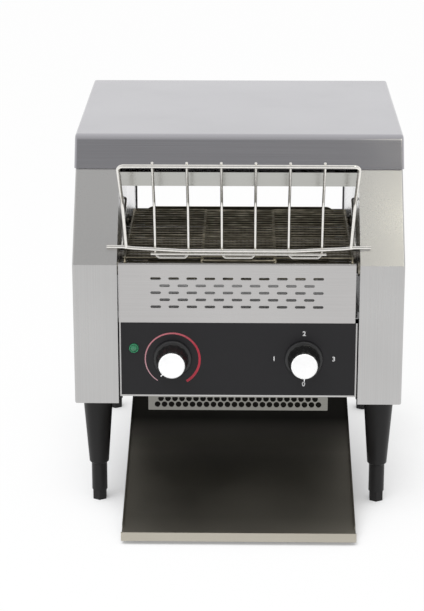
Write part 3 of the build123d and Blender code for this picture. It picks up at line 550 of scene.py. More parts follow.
def turn_profile(
    mesh_data: bmesh.types.BMesh,
    profile: Sequence[Triple],
    base: Vector,
    axis: Vector,
    steps: int = 64,
    flutes: int = 0,
) -> None:
    """Turn a profile round an axis.

    Args:
        mesh_data: the shape that takes the result.
        profile: (radius, height, flute depth) from end to end, where a radius of 0 closes an end.
        base: where the axis starts.
        axis: unit vector of the axis.
        steps: points round the axis.
        flutes: number of flutes round the side.
    """
    across, along = crosswise(axis)
    rings = []
    for radius, height, depth in profile:
        middle = base + axis * height
        if radius == 0:
            rings.append([mesh_data.verts.new(middle)])
            continue
        ring = []
        for step in range(steps):
            turn = 2 * math.pi * step / steps
            reach = radius - depth * (0.5 - 0.5 * math.cos(turn * flutes))
            spoke = across * math.cos(turn) + along * math.sin(turn)
            ring.append(mesh_data.verts.new(middle + spoke * reach))
        rings.append(ring)
    bridge_rings(mesh_data, rings)


def sweep_tube(mesh_data: bmesh.types.BMesh, path: Sequence[Vector], radius: float, sides: int = 8) -> None:
    """Sweep a closed round tube along a path.

    Args:
        mesh_data: the shape that takes the tube.
        path: points of its centre line.
        radius: the tube's radius.
        sides: points round it.
    """
    heading = (path[1] - path[0]).normalized()
    across, _ = crosswise(heading)
    rings = [[mesh_data.verts.new(path[0])]]
    for index, point in enumerate(path):
        before = path[max(0, index - 1)]
        after = path[min(len(path) - 1, index + 1)]
        heading = (after - before).normalized()
        across = (across - heading * across.dot(heading)).normalized()
        along = heading.cross(across)
        turns = [2 * math.pi * side / sides for side in range(sides)]
        rings.append([
            mesh_data.verts.new(point + (across * math.cos(turn) + along * math.sin(turn)) * radius)
            for turn in turns
        ])
    rings.append([mesh_data.verts.new(path[-1])])
    bridge_rings(mesh_data, rings)


def rounded_path(points: Sequence[Vector], steps: int = 4) -> list[Vector]:
    """Give a smooth path through points, with a number of steps between each two.

    Args:
        points: points that the path goes through.
        steps: steps between each two.

    Returns:
        Points of the path.
    """
    path = []
    for index in range(len(points) - 1):
        before = points[max(0, index - 1)]
        start, end = points[index], points[index + 1]
        after = points[min(len(points) - 1, index + 2)]
        for step in range(steps):
            share = step / steps
            bend_in = (end - before) * 0.5 * share * (1 - share) ** 2
            bend_out = (after - start) * 0.5 * share ** 2 * (1 - share)
            ease = share * share * (3 - 2 * share)
            path.append(start.lerp(end, ease) + bend_in - bend_out)
    path.append(points[-1])
    return path


def flat_prism(mesh_data: bmesh.types.BMesh, outline: Sequence[Vector], depth: Vector) -> None:
    """Raise a flat outline into a solid along a depth vector.

    Args:
        mesh_data: the shape that takes the solid.
        outline: corners of the flat face.
        depth: from that face to the opposite one.
    """
    floor = [mesh_data.verts.new(point) for point in outline]
    roof = [mesh_data.verts.new(point + depth) for point in outline]
    mesh_data.faces.new(floor)
    mesh_data.faces.new(list(reversed(roof)))
    bridge_rings(mesh_data, [floor, roof])


# The frame


class Frame:
    """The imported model, and the ways in which a piece joins it."""

    def __init__(self) -> None:
        """Load the frame and index its record."""
        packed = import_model()
        record = packed["record"]
        self.nodes: dict[str, bpy.types.Object] = packed["nodes"]
        self.body_of = {
            node: body for body, members in record["behaviour"]["bodies"].items() for node in members
        }
        self.slot_of = {entry["node"]: entry["material_slot"] for entry in record["subparts"]}
        self.undressed = set(self.nodes)

    def dress(self, finish: Finish, *names: str) -> None:
        """Give CAD nodes a finish, with their shape as it is.

        Args:
            finish: what they are finished in.
            names: the nodes.
        """
        for name in names:
            node = self.nodes[name]
            node.data.materials.clear()
            node.data.materials.append(finish.material())
            self.undressed.discard(name)
            log.info("dressed %s in %s", name, finish.name)

    def attach(self, piece: bpy.types.Object, node: str) -> None:
        """Let a further piece move with a node's body."""
        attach(piece, self.body_of[node])
        log.info("added %s on %s", piece.name, self.body_of[node])

    def stand_in(self, piece: bpy.types.Object, *names: str) -> None:
        """Let a detailed piece stand for CAD nodes, on their body.

        Args:
            piece: the detailed piece.
            names: the nodes, all on one body.
        """
        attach(piece, self.body_of[names[0]])
        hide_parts(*names)
        self.undressed.difference_update(names)
        log.info("built %s for %s", piece.name, ", ".join(names))


class SubAssembly(ABC):
    """A group of pieces that is built and dressed together."""

    @abstractmethod
    def build(self, frame: Frame) -> None:
        """Build and dress the group's pieces."""


# Sub-assemblies


@dataclass
class Casing(SubAssembly):
    """Folded sheets round the toaster: columns, hood, panels and guard."""

    def build(self, frame: Frame) -> None:
        """Dress the casing's sheets.

        Args:
            frame: the frame that takes the pieces.
        """
        frame.dress(COLUMN_STEEL, "left_side_cover", "right_side_cover")
        frame.dress(HOOD_STEEL, "top_hood")
        frame.dress(PANEL_STEEL, "rear_panel", "front_vent_panel", "control_panel")
        frame.dress(HEADER_STEEL, "front_header")
        frame.dress(GUARD_STEEL, "lower_air_guard")
        frame.dress(WALL_STEEL, "left_inner_plate", "right_inner_plate", "upper_reflector")
        # the base plate is dark with painted shade
        frame.dress(PAINTED_SHADE_STEEL, "base_plate")
        frame.dress(INNER_STEEL, "control_box_back", "lower_heat_shield", "leg_mounting_plates")


@dataclass
class PanelScrews(SubAssembly):
    """Pan-head screws with a cross recess."""

    head_radius: float = 3.8 * MM
    head_height: float = 1.75 * MM
    recess_reach: float = 2.1 * MM
    recess_width: float = 0.75 * MM
    recess_depth: float = 1.1 * MM
    shank_radius: float = 1.9 * MM
    crown_core: float = 0.35  # of the head's radius and height, where its crown's curve starts
    crown_rest: float = 0.65  # the other share of both
    flat_core: float = 0.3  # of the head's radius, flat on top
    sides: int = 32

    def one_screw(self, base: Vector, length: float) -> bmesh.types.BMesh:
        """Build one screw.

        Args:
            base: middle of the head's underside.
            length: the shank's length, towards -Y.

        Returns:
            The screw's shape.
        """
        shape = bmesh.new()
        radius, height = self.head_radius, self.head_height
        core, rest = self.crown_core, self.crown_rest
        arc = [math.radians(angle) for angle in range(0, 90, 15)]
        crown = [
            (radius * (core + rest * math.cos(a)), height * (core + rest * math.sin(a)), 0.0) for a in arc
        ]
        profile = [(0.0, -length, 0.0), (self.shank_radius, -length, 0.0), (self.shank_radius, 0.0, 0.0)]
        profile += [(radius, 0.0, 0.0)] + crown + [(radius * self.flat_core, height, 0.0), (0.0, height, 0.0)]
        turn_profile(shape, profile, base, Vector((0, 1, 0)), self.sides)
        return shape

    def cross_cutter(self, base: Vector) -> bmesh.types.BMesh:
        """Build the cross that is cut into a head.

        Args:
            base: middle of the head's underside.

        Returns:
            The cross's shape.
        """
        shape = bmesh.new()
        top = base + Vector((0, self.head_height + MM, 0))
        outline = []
        for turn in (0.0, math.pi / 2, math.pi, 1.5 * math.pi):
            along = Vector((math.cos(turn), 0, math.sin(turn)))
            side = Vector((-math.sin(turn), 0, math.cos(turn))) * self.recess_width / 2
            arm_end = top + along * self.recess_reach
            outline += [arm_end - side, arm_end + side, top + along * self.recess_width / 2 + side]
        flat_prism(shape, outline, Vector((0, -self.recess_depth - MM, 0)))
        return shape

    def build_group(self, frame: Frame, node: str) -> None:
        """Build detailed screws where a node's screws are.

        Args:
            frame: the frame that takes the screws.
            node: name of the CAD node.
        """
        places = heads_of(frame.nodes[node])
        group = bmesh.new()
        cutter = bmesh.new()
        for base, length in places:
            for target, part in ((group, self.one_screw(base, length)), (cutter, self.cross_cutter(base))):
                mesh = bpy.data.meshes.new("part")
                part.to_mesh(mesh)
                part.free()
                target.from_mesh(mesh)
                bpy.data.meshes.remove(mesh)
        screws = to_object(node + "_detailed", group, SCREW_STEEL)
        crosses = to_object(node + "_cutter", cutter, SCREW_STEEL)
        cut_with(screws, crosses)
        frame.stand_in(screws, node)

    def build(self, frame: Frame) -> None:
        """Build the rear panel's and the hood's screws.

        Args:
            frame: the frame that takes the pieces.
        """
        self.build_group(frame, "rear_panel_screws")
        self.build_group(frame, "hood_screws")
        frame.dress(SCREW_STEEL, "leg_nuts")


def islands(node: bpy.types.Object) -> list[list[Vector]]:
    """Give the corner points of each separate solid in a node.

    Args:
        node: the CAD node.

    Returns:
        One list of points for each solid.
    """
    shape = bmesh.new()
    shape.from_mesh(node.data)
    bmesh.ops.remove_doubles(shape, verts=shape.verts, dist=MM / 1000)
    reached = set()
    groups = []
    for start in shape.verts:
        if start in reached:
            continue
        reached.add(start)
        stack = [start]
        group = []
        while stack:
            vertex = stack.pop()
            group.append(vertex.co.copy())
            for edge in vertex.link_edges:
                other = edge.other_vert(vertex)
                if other not in reached:
                    reached.add(other)
                    stack.append(other)
        groups.append(group)
    shape.free()
    return groups


def heads_of(node: bpy.types.Object) -> list[tuple[Vector, float]]:
    """Give the middle of each screw head's underside, and its shank's length.

    Args:
        node: the CAD node.

    Returns:
        A seat and a shank length for each screw.
    """
    found = []
    for group in islands(node):
        low = Vector(min(point[axis] for point in group) for axis in range(3))
        high = Vector(max(point[axis] for point in group) for axis in range(3))
        head = PanelScrews.head_height
        seat = Vector(((low.x + high.x) / 2, high.y - head, (low.z + high.z) / 2))
        found.append((seat, seat.y - low.y))
    return found


def volume_of(mesh: bpy.types.Mesh) -> float:
    """Measure the volume inside a closed mesh.

    Args:
        mesh: the mesh.

    Returns:
        Its volume in cubic metres.
    """
    shape = bmesh.new()
    shape.from_mesh(mesh)
    volume = abs(shape.calc_volume())
    shape.free()
    return volume


def cut_with(piece: bpy.types.Object, cutter: bpy.types.Object) -> None:
    """Cut one object out of another, and remove the cutter.

    Args:
        piece: the object to cut.
        cutter: what is cut out of it.
    """
    modifier = piece.modifiers.new("cut", "BOOLEAN")
    modifier.operation = "DIFFERENCE"
    modifier.solver = "EXACT"
    modifier.object = cutter
    graph = bpy.context.evaluated_depsgraph_get()
    mesh = bpy.data.meshes.new_from_object(piece.evaluated_get(graph))
    piece.modifiers.clear()
    if volume_of(mesh) < LEAST_LEFT * volume_of(piece.data):
        log.warning("%s lost too much in its cut, so it stays uncut", piece.name)
        bpy.data.meshes.remove(mesh)
    else:
        piece.data = mesh
    bpy.data.objects.remove(cutter)


@dataclass
class WireBelt(SubAssembly):
    """Belt of cross wires in three bays, each wire hooked round the next one."""

    wire_radius: float = 1.0 * MM
    seam: float = 40.3 * MM  # from the belt's middle to each seam between its bays
    pitch_aim: float = 10.0 * MM
    bay_shift: float = 0.42  # of a pitch, between neighbouring bays
    hook_half: float = 1.0 * MM
    hook_reach: float = 1.16  # of a pitch, past the next wire
    lift: float = 0.9 * MM
    unevenness: float = 0.16 * MM
    seed: int = 7  # of the unevenness
    sides: int = 7  # of a wire
    bend_steps: int = 3  # between two points of a wire

    def fit(self) -> None:
        """Take the loop's sizes from the belt's node."""
        low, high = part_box("conveyor_belt")
        self.half_width = (high.x - low.x) / 2
        self.bend_radius = (high.z - low.z) / 2 - MM
        self.axis_height = (high.z + low.z) / 2
        self.front_axis = low.y + self.bend_radius + MM
        self.span = high.y - low.y - 2 * (self.bend_radius + MM)
        self.loop = 2 * (self.span + math.pi * self.bend_radius)
        self.strands = round(self.loop / self.pitch_aim)
        self.pitch = self.loop / self.strands

    def point(self, x: float, run: float, rise: float) -> Vector:
        """Give the place on the loop at a run along it and a rise off it.

        Args:
            x: the place across the belt.
            run: how far round the loop.
            rise: how far off it.

        Returns:
            The place in the frame.
        """
        run %= self.loop
        arc = math.pi * self.bend_radius
        radius = self.bend_radius + rise
        rear_axis = self.front_axis + self.span
        if run < self.span:
            return Vector((x, self.front_axis + run, self.axis_height + radius))
        run -= self.span
        if run < arc:
            turn = run / self.bend_radius
            rise = radius * math.cos(turn)
            return Vector((x, rear_axis + radius * math.sin(turn), self.axis_height + rise))
        run -= arc
        if run < self.span:
            return Vector((x, rear_axis - run, self.axis_height - radius))
        turn = (run - self.span) / self.bend_radius
        drop = radius * math.cos(turn)
        return Vector((x, self.front_axis - radius * math.sin(turn), self.axis_height - drop))

    def strand(self, run: float, wobble: random.Random) -> list[Vector]:
        """Give one wire's centre line from edge to edge.

        Args:
            run: the wire's place round the loop.
            wobble: source of its small unevenness.

        Returns:
            Points from the left edge to the right edge.
        """
        pitch, hook, lift = self.pitch, self.hook_half, self.lift
        edges = (-self.half_width, -self.seam, self.seam, self.half_width)
        shifts = [pitch * self.bay_shift * (index % 2) for index in range(len(edges) - 1)]
        reach = pitch * self.hook_reach
        left = self.wire_radius - self.half_width
        places = [
            (left + 2 * hook, run + pitch * 0.82, -lift),
            (left + hook * 0.6, run + reach, -lift * 0.4),
            (left, run + pitch * 0.7, lift),
            (left + hook * 0.5, run + pitch * 0.15, lift * 0.5),
        ]
        for index, (start, end) in enumerate(zip(edges, edges[1:])):
            level = run + shifts[index]
            uneven = wobble.uniform(-1, 1) * self.unevenness
            places.append((start + 2.4 * hook, level, 0.0))
            places.append(((start + end) / 2, level + uneven, uneven / 2))
            places.append((end - 2.4 * hook, level, 0.0))
            if end < self.half_width:
                after = run + shifts[index + 1]
                places.append((end - hook, level + pitch * 0.25, -lift * 0.6))
                places.append((end - hook * 0.7, run + pitch * 0.95, -lift))
                places.append((end, run + reach, -lift))
                places.append((end + hook * 0.7, run + pitch * 0.95, -lift))
                places.append((end + hook, after + pitch * 0.25, -lift * 0.6))
        places += [(-x, y, z) for x, y, z in reversed(places[:4])]
        points = [self.point(x, place, rise) for x, place, rise in places]
        return rounded_path(points, self.bend_steps)

    def build(self, frame: Frame) -> None:
        """Build the belt as one mesh of separate wires.

        Args:
            frame: the frame that takes the pieces.
        """
        self.fit()
        wobble = random.Random(self.seed)
        shape = bmesh.new()
        for index in range(self.strands):
            sweep_tube(shape, self.strand(index * self.pitch, wobble), self.wire_radius, self.sides)
        frame.stand_in(to_object("woven_belt", shape, BELT_WIRE), "conveyor_belt")


@dataclass
class FeedRack(SubAssembly):
    """Plated wire rack with its weld beads."""

    wires: int = 6
    top_half: float = 129.3 * MM
    bead: float = 2.3 * MM
    top_bar: tuple[float, float] = (-36.5 * MM, 424.0 * MM)  # set back from the columns, and height
    low_bar: tuple[float, float] = (13.0 * MM, 316.2 * MM)
    short_bar: tuple[float, float] = (14.5 * MM, 311.0 * MM)
    squash: tuple[float, float, float, float] = (1.15, 0.9, 0.7, 1.0)  # of a bead

    def build(self, frame: Frame) -> None:
        """Dress the rack and add its beads.

        Args:
            frame: the frame that takes the pieces.
        """
        frame.dress(RACK_PLATING, "wire_feed_rack")
        column_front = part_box("left_side_cover")[0].y
        pitch = 2 * self.top_half / (self.wires + 1)
        shape = bmesh.new()
        for index in range(self.wires):
            x = pitch * (index - (self.wires - 1) / 2)
            for setback, height in (self.top_bar, self.low_bar, self.short_bar):
                place = Matrix.Translation((x, column_front + setback, height))
                place = place @ Matrix.Diagonal(self.squash)
                bmesh.ops.create_icosphere(shape, subdivisions=2, radius=self.bead, matrix=place)
        beads = to_object("rack_weld_beads", shape, RACK_PLATING, 80.0)
        frame.attach(beads, "wire_feed_rack")


@dataclass
class ToastPath(SubAssembly):
    """Sheets that lead the toast from the belt to the front."""

    def build(self, frame: Frame) -> None:
        """Dress the guide, the chute, the tray and its carrier.

        Args:
            frame: the frame that takes the pieces.
        """
        frame.dress(SCORCHED_STEEL, "rear_toast_guide")
        # the chute and the tray carrier are dark with painted shade
        frame.dress(PAINTED_SHADE_STEEL, "toast_chute", "tray_carrier")
        frame.dress(TRAY_STEEL, "toast_tray")


@dataclass
class ControlKnob(SubAssembly):
    """Knob with a skirt, a fluted grip and a white cap with a pointer."""

    name: str
    pointer_turn: float  # degrees clockwise from straight down
    flutes: int = 14
    flute_depth: float = 0.9 * MM
    skirt_height: float = 3.5 * MM
    edge: float = 1.1 * MM
    grip_base: float = 18.2 * MM
    grip_tip: float = 16.6 * MM
    cap_radius: float = 14.7 * MM
    pointer_length: float = 2.6 * MM
    pointer_half: float = 0.5 * MM

    def build(self, frame: Frame) -> None:
        """Build skirt, grip and cap from the knob's box.

        Args:
            frame: the frame that takes the pieces.
        """
        low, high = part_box(self.name)
        cap_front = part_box(self.name + "_cap")[0].y
        axis = Vector((0, -1, 0))
        base = Vector(((low.x + high.x) / 2, high.y, (low.z + high.z) / 2))
        radius = (high.x - low.x) / 2
        depth = high.y - low.y
        self.build_grip(frame, base, axis, radius, depth)
        self.build_cap(frame, base, axis, depth, high.y - cap_front)

    def build_grip(self, frame: Frame, base: Vector, axis: Vector, radius: float, depth: float) -> None:
        """Build the skirt and the fluted grip as one moulding.

        Args:
            frame: the frame that takes it.
            base: middle of the knob's back face.
            axis: unit vector out of the panel.
            radius: the skirt's radius.
            depth: the knob's depth without its cap.
        """
        skirt, edge, flute = self.skirt_height, self.edge, self.flute_depth
        profile = [
            (0.0, 0.0, 0.0),
            (radius - edge * 0.4, 0.0, 0.0),
            (radius, edge * 0.4, 0.0),
            (radius, skirt * 0.45, 0.0),
            (radius - edge * 0.5, skirt * 0.8, 0.0),
            (radius - edge * 1.4, skirt, 0.0),
            (self.grip_base + edge * 0.6, skirt, 0.0),
            (self.grip_base, skirt + edge * 0.5, flute * 0.3),
            (self.grip_base - edge * 0.2, skirt + edge * 2.5, flute),
            (self.grip_tip, depth - edge * 1.6, flute),
            (self.grip_tip - edge * 0.35, depth - edge * 0.6, flute * 0.7),
            (self.grip_tip - edge * 1.2, depth, 0.0),
            (0.0, depth, 0.0),
        ]
        shape = bmesh.new()
        turn_profile(shape, profile, base, axis, self.flutes * 8, self.flutes)
        grip = to_object(self.name + "_grip", shape, KNOB_BLACK, 50.0)
        grip.data.materials.append(KNOB_RING.material())
        for face in grip.data.polygons:
            if base.y - face.center.y < skirt * 1.02:
                face.material_index = 1
        frame.stand_in(grip, self.name)

    def build_cap(self, frame: Frame, base: Vector, axis: Vector, back: float, front: float) -> None:
        """Build the white cap and its pointer.

        Args:
            frame: the frame that takes it.
            base: middle of the knob's back face.
            axis: unit vector out of the panel.
            back: the cap's back, from the base.
            front: the cap's front, from the base.
        """
        radius = self.cap_radius
        edge = (front - back) * 0.6
        profile = [
            (0.0, back - edge, 0.0),
            (radius, back - edge, 0.0),
            (radius, front - edge, 0.0),
            (radius - edge * 0.3, front - edge * 0.3, 0.0),
            (radius - edge, front, 0.0),
            (radius - edge * 3.0, front, 0.0),
            (radius - edge * 5.0, front - edge * 0.25, 0.0),
            (0.0, front - edge * 0.25, 0.0),
        ]
        shape = bmesh.new()
        turn_profile(shape, profile, base, axis, 72)
        turn = math.radians(self.pointer_turn)
        down = Vector((-math.sin(turn), 0, -math.cos(turn)))
        side = Vector((math.cos(turn), 0, -math.sin(turn))) * self.pointer_half
        root = base + axis * back + down * (radius - edge)
        tip = base + axis * back + down * (radius + self.pointer_length)
        flat_prism(shape, [root - side, root + side, tip + side, tip - side], axis * (front - back) * 0.9)
        frame.stand_in(to_object(self.name + "_cap_moulding", shape, KNOB_WHITE), self.name + "_cap")


@dataclass
class Fascia(SubAssembly):
    """Black facing with its printed scale, plain numerals and pilot lamp."""

    ink: float = 0.12 * MM
    scale_radius: float = 30.6 * MM
    scale_drop: float = 0.7 * MM  # of the scale's middle below the knob's
    scale_start: float = 33.0  # degrees clockwise from straight down
    scale_end: float = 329.0
    scale_steps: int = 72
    thin: float = 0.9 * MM
    thick: float = 2.9 * MM
    numeral_height: float = 5.2 * MM
    cap_share: float = 0.7  # of the type's size that a numeral is high
    numeral_weight: float = 0.22 * MM  # added all round a numeral's strokes
    numeral_rise: float = 30.0 * MM
    numeral_side: float = 33.5 * MM
    lens_rim: float = 1.2 * MM

    def scale(self, frame: Frame, centre: Vector) -> None:
        """Print the browning scale, a line that widens clockwise.

        Args:
            frame: the frame that takes it.
            centre: the scale's middle on the fascia.
        """
        inner, outer = [], []
        for step in range(self.scale_steps + 1):
            share = step / self.scale_steps
            turn = math.radians(self.scale_start + (self.scale_end - self.scale_start) * share)
            half = (self.thin + (self.thick - self.thin) * share) / 2
            spoke = Vector((-math.sin(turn), 0, -math.cos(turn)))
            inner.append(centre + spoke * (self.scale_radius - half))
            outer.append(centre + spoke * (self.scale_radius + half))
        shape = bmesh.new()
        depth = Vector((0, -self.ink, 0))
        floors = [[shape.verts.new(point) for point in line] for line in (inner, outer)]
        roofs = [[shape.verts.new(point + depth) for point in line] for line in (inner, outer)]
        rings = [list(ring) for ring in zip(floors[0], floors[1], roofs[1], roofs[0])]
        bridge_rings(shape, rings)
        shape.faces.new(rings[0])
        shape.faces.new(rings[-1])
        ink = RampInk("scale_ink", (0.5, 0.3, 0.33), 0.45, centre=tuple(centre))
        frame.attach(to_object("browning_scale_print", shape, ink), "control_fascia")

    def numeral(self, frame: Frame, digit: int, centre: Vector) -> None:
        """Print one plain numeral, centred on a point of the fascia.

        Args:
            frame: the frame that takes it.
            digit: the numeral.
            centre: its middle.
        """
        text = bpy.data.curves.new("numeral", "FONT")
        text.body = str(digit)
        text.size = self.numeral_height / self.cap_share
        text.align_x = "CENTER"
        text.align_y = "CENTER"
        text.offset = self.numeral_weight
        text.extrude = self.ink / 2
        drawn = bpy.data.objects.new("numeral", text)
        bpy.context.scene.collection.objects.link(drawn)
        mesh = bpy.data.meshes.new_from_object(drawn.evaluated_get(bpy.context.evaluated_depsgraph_get()))
        bpy.data.objects.remove(drawn)
        stand = Matrix.Rotation(math.pi / 2, 4, "X")
        mesh.transform(Matrix.Translation(centre) @ stand)
        mesh.materials.clear()
        mesh.materials.append(PRINT_WHITE.material())
        made = bpy.data.objects.new(f"selector_numeral_{digit}", mesh)
        bpy.context.scene.collection.objects.link(made)
        frame.attach(made, "control_fascia")

    def pilot_lens(self, frame: Frame) -> None:
        """Build the pilot lamp's lens with a rim and a low dome.

        Args:
            frame: the frame that takes the pieces.
        """
        low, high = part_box("indicator_lens")
        base = Vector(((low.x + high.x) / 2, high.y, (low.z + high.z) / 2))
        radius, depth, rim = (high.x - low.x) / 2, high.y - low.y, self.lens_rim
        profile = [
            (0.0, 0.0, 0.0),
            (radius, 0.0, 0.0),
            (radius, depth * 0.5, 0.0),
            (radius - rim * 0.4, depth * 0.75, 0.0),
            (radius - rim, depth * 0.7, 0.0),
            (radius - rim * 1.3, depth * 0.45, 0.0),
            (radius * 0.6, depth * 0.75, 0.0),
            (radius * 0.3, depth * 0.92, 0.0),
            (0.0, depth * 0.98, 0.0),
        ]
        shape = bmesh.new()
        turn_profile(shape, profile, base, Vector((0, -1, 0)), 48)
        frame.stand_in(to_object("pilot_lens", shape, LENS_GREEN), "indicator_lens")

    def build(self, frame: Frame) -> None:
        """Dress the facing, and print and build what is on it.

        Args:
            frame: the frame that takes the pieces.
        """
        frame.dress(FASCIA_FILM, "control_fascia")
        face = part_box("control_fascia")[0].y
        centres = []
        for name in ("browning_knob", "selector_knob"):
            low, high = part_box(name)
            centres.append(Vector(((low.x + high.x) / 2, face, (low.z + high.z) / 2)))
        self.scale(frame, centres[0] - Vector((0, 0, self.scale_drop)))
        for digit in range(4):
            turn = math.radians(90 * digit)
            across, rise = self.numeral_side * math.sin(turn), self.numeral_rise * math.cos(turn)
            self.numeral(frame, digit, centres[1] - Vector((across, self.ink / 2, rise)))
        self.pilot_lens(frame)
        frame.dress(INNER_PLASTIC, "indicator_lamp", "speed_regulator", "selector_switch")
        frame.dress(TURNED_STEEL, "browning_shaft", "selector_shaft")


@dataclass
class Works(SubAssembly):
    """What drives, heats, cools and feeds the toaster inside."""

    def build(self, frame: Frame) -> None:
        """Dress the drive, the elements, the fan and the wiring pieces.

        Args:
            frame: the frame that takes the pieces.
        """
        frame.dress(HOT_STEEL, "front_belt_shaft", "rear_belt_shaft", "front_belt_wheels", "rear_belt_wheels")
        frame.dress(TURNED_STEEL, "motor_shaft", "drive_chain", "shaft_sprocket", "motor_sprocket")
        frame.dress(BUSH_BRONZE, "shaft_bushes")
        frame.dress(MOTOR_ENAMEL, "drive_motor")
        frame.dress(QUARTZ, "upper_heating_elements", "lower_heating_elements")
        frame.dress(CERAMIC, "element_end_caps")
        frame.dress(INNER_PLASTIC, "fan_frame", "fan_rotor", "terminal_block", "cable_gland")


@dataclass
class Legs(SubAssembly):
    """Four moulded legs with screw feet."""

    def build(self, frame: Frame) -> None:
        """Dress the legs and the feet.

        Args:
            frame: the frame that takes the pieces.
        """
        for row in ("front", "rear"):
            for side in ("left", "right"):
                frame.dress(LEG_PLASTIC, f"{row}_{side}_leg", f"{row}_{side}_foot")


# The studio


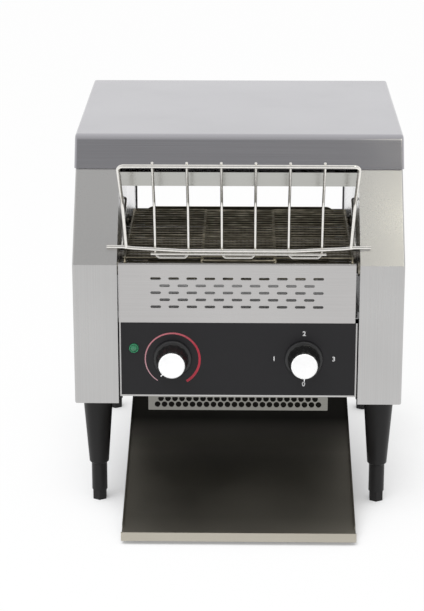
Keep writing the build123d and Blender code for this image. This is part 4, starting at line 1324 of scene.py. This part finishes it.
@dataclass
class Studio:
    """Pale floor, pale surroundings, soft lamps and the camera."""

    floor_half: float = 6.0
    floor_colour: Triple = (0.86, 0.865, 0.88)
    shade_reach: float = 0.17  # how far off a piece still shades the floor
    shade_span: tuple[float, float] = (0.35, 0.95)  # open share of the sky where the shade is full, and none
    shaded_glow: float = 0.25
    open_glow: float = 0.97
    fill: float = 0.55
    lamp_power: float = 34.0
    lamp_size: float = 1.6
    lamp_place: Triple = (-0.55, -0.9, 1.9)
    lamp_aim: Triple = (0.0, 0.0, 0.2)
    side_power: float = 0.74
    side_tint: Triple = (1.0, 0.96, 0.77)
    side_size: float = 0.3
    side_place: Triple = (0.45, -0.62, 1.25)
    dark_towards: Triple = (0.0, -0.848, 0.53)
    dark_ramp: Stops = (  # half of 1 + the cosine off the dark, and the level there
        (0.0, 1.0), (0.2, 1.0), (0.6, 0.9), (0.83, 0.78), (0.9425, 0.65), (0.9925, 0.38), (1.0, 0.38)
    )
    camera_place: Triple = (0.0083, -2.2744, 0.9484)
    camera_yaw: float = -0.01776
    camera_pitch: float = 0.3172
    camera_roll: float = -0.0008463
    focal_pixels: float = 2000.0
    picture: tuple[int, int] = (424, 611)
    sensor: float = 36.0

    def camera(self) -> None:
        """Place the camera and make it the scene's."""
        data = bpy.data.cameras.new("camera")
        data.sensor_width = self.sensor
        data.lens = self.focal_pixels * self.sensor / max(self.picture)
        data.clip_start = 0.05
        data.clip_end = 50.0
        made = bpy.data.objects.new("camera", data)
        yaw, pitch = self.camera_yaw, self.camera_pitch
        ahead = Vector((math.sin(yaw) * math.cos(pitch), math.cos(yaw) * math.cos(pitch), -math.sin(pitch)))
        level = Vector((math.cos(yaw), -math.sin(yaw), 0.0))
        upward = level.cross(ahead)
        right = level * math.cos(self.camera_roll) + upward * math.sin(self.camera_roll)
        top = upward * math.cos(self.camera_roll) - level * math.sin(self.camera_roll)
        turned = Matrix((right, top, -ahead)).transposed().to_4x4()
        made.matrix_world = Matrix.Translation(self.camera_place) @ turned
        bpy.context.scene.collection.objects.link(made)
        bpy.context.scene.camera = made

    def seen_directly(self, tree: bpy.types.NodeTree) -> bpy.types.NodeSocket:
        """Give 1 for camera, glossy and transmission rays, and 0 for the rest.

        Args:
            tree: the node tree that takes the nodes.

        Returns:
            The value.
        """
        path = tree.nodes.new("ShaderNodeLightPath")
        total = path.outputs["Is Camera Ray"]
        for name in ("Is Glossy Ray", "Is Transmission Ray"):
            node = tree.nodes.new("ShaderNodeMath")
            node.operation = "MAXIMUM"
            tree.links.new(total, node.inputs[0])
            tree.links.new(path.outputs[name], node.inputs[1])
            total = node.outputs[0]
        return total

    def floor(self) -> None:
        """Lay the floor, which keeps the toaster's soft shadow."""
        shape = bmesh.new()
        bmesh.ops.create_grid(shape, x_segments=2, y_segments=2, size=self.floor_half)
        mesh = bpy.data.meshes.new("studio_floor")
        shape.to_mesh(mesh)
        shape.free()
        floor = bpy.data.objects.new("studio_floor", mesh)
        bpy.context.scene.collection.objects.link(floor)
        shader = Shader("floor_paper")
        grain = shader.noise((9.0, 9.0, 9.0))
        paper = shader.blend(grain, self.floor_colour, scaled(self.floor_colour, 1.01))
        shader.surface_inputs(base_color=paper, roughness=1.0, specular_ior_level=0.0)
        glow = shader.add("ShaderNodeEmission", {"Color": WHITE, "Strength": 1.0})
        open_sky = shader.add("ShaderNodeAmbientOcclusion", {"Distance": self.shade_reach}, samples=16)
        bright = shader.remap(open_sky.outputs["AO"], self.shaded_glow, self.open_glow, *self.shade_span)
        parts = {0: self.seen_directly(shader.tree), 1: bright}
        share = shader.add("ShaderNodeMath", parts, operation="MULTIPLY")
        mix = shader.add("ShaderNodeMixShader")
        shader.tree.links.new(share.outputs[0], mix.inputs[0])
        shader.tree.links.new(shader.surface.outputs["BSDF"], mix.inputs[1])
        shader.tree.links.new(glow.outputs["Emission"], mix.inputs[2])
        shader.tree.links.new(mix.outputs["Shader"], shader.output.inputs["Surface"])
        mesh.materials.append(shader.material)

    def surroundings(self) -> None:
        """Make the world: white behind, and darker ahead for metal to mirror."""
        world = bpy.data.worlds.new("studio")
        world.use_nodes = True
        tree = world.node_tree
        tree.nodes.clear()
        output = tree.nodes.new("ShaderNodeOutputWorld")
        shown = tree.nodes.new("ShaderNodeBackground")
        lit = tree.nodes.new("ShaderNodeBackground")
        lit.inputs["Color"].default_value = (*WHITE, 1.0)
        lit.inputs["Strength"].default_value = self.fill
        direction = tree.nodes.new("ShaderNodeTexCoord")
        facing = tree.nodes.new("ShaderNodeVectorMath")
        facing.operation = "DOT_PRODUCT"
        tree.links.new(direction.outputs["Generated"], facing.inputs[0])
        facing.inputs[1].default_value = Vector(self.dark_towards).normalized()
        half = tree.nodes.new("ShaderNodeMath")
        half.operation = "MULTIPLY_ADD"
        half.inputs[1].default_value = half.inputs[2].default_value = 0.5
        tree.links.new(facing.outputs["Value"], half.inputs[0])
        ramp = tree.nodes.new("ShaderNodeValToRGB")
        set_stops(ramp.color_ramp, self.dark_ramp)
        tree.links.new(half.outputs["Value"], ramp.inputs["Fac"])
        clear = tree.nodes.new("ShaderNodeMixRGB")
        tree.links.new(tree.nodes.new("ShaderNodeLightPath").outputs["Is Camera Ray"], clear.inputs[0])
        tree.links.new(ramp.outputs["Color"], clear.inputs[1])
        clear.inputs[2].default_value = (*WHITE, 1.0)
        tree.links.new(clear.outputs["Color"], shown.inputs["Color"])
        mix = tree.nodes.new("ShaderNodeMixShader")
        tree.links.new(self.seen_directly(tree), mix.inputs[0])
        tree.links.new(lit.outputs["Background"], mix.inputs[1])
        tree.links.new(shown.outputs["Background"], mix.inputs[2])
        tree.links.new(mix.outputs["Shader"], output.inputs["Surface"])
        bpy.context.scene.world = world

    def lamp(
        self,
        name: str,
        power: float,
        size: float,
        place: Triple,
        tint: Triple = WHITE,
        mirrored: bool = False,
    ) -> None:
        """Hang a soft square lamp that shines on the toaster.

        Args:
            name: what the lamp is called.
            power: its power in watts.
            size: length of its side.
            place: its middle.
            tint: the light's colour.
            mirrored: whether polished metal mirrors it.
        """
        data = bpy.data.lights.new(name, "AREA")
        data.shape = "SQUARE"
        data.size = size
        data.energy = power
        data.color = tint
        made = bpy.data.objects.new(name, data)
        made.location = place
        aim = Vector(self.lamp_aim) - Vector(place)
        made.rotation_euler = aim.to_track_quat("-Z", "Y").to_euler()
        made.visible_glossy = mirrored
        bpy.context.scene.collection.objects.link(made)

    def build(self) -> None:
        """Set up the whole studio."""
        self.camera()
        self.floor()
        self.surroundings()
        self.lamp("front_lamp", self.lamp_power, self.lamp_size, self.lamp_place)
        self.lamp("side_lamp", self.side_power, self.side_size, self.side_place, self.side_tint, True)
        bpy.context.scene.view_settings.view_transform = "Standard"


def sub_assemblies() -> Iterable[SubAssembly]:
    """Give the toaster's sub-assemblies in building order.

    Returns:
        The sub-assemblies.
    """
    yield Casing()
    yield PanelScrews()
    yield WireBelt()
    yield FeedRack()
    yield ToastPath()
    yield ControlKnob("browning_knob", 45.0)
    yield ControlKnob("selector_knob", 0.0)
    yield Fascia()
    yield Works()
    yield Legs()


def main() -> None:
    """Load the frame, set up the studio, and build every sub-assembly."""
    logging.basicConfig(level=logging.INFO, format="%(message)s")
    frame = Frame()
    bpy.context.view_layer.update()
    Studio().build()
    for group in sub_assemblies():
        group.build(frame)
    if frame.undressed:
        log.warning("no finish yet on %s", ", ".join(sorted(frame.undressed)))


if __name__ == "__main__":
    main()
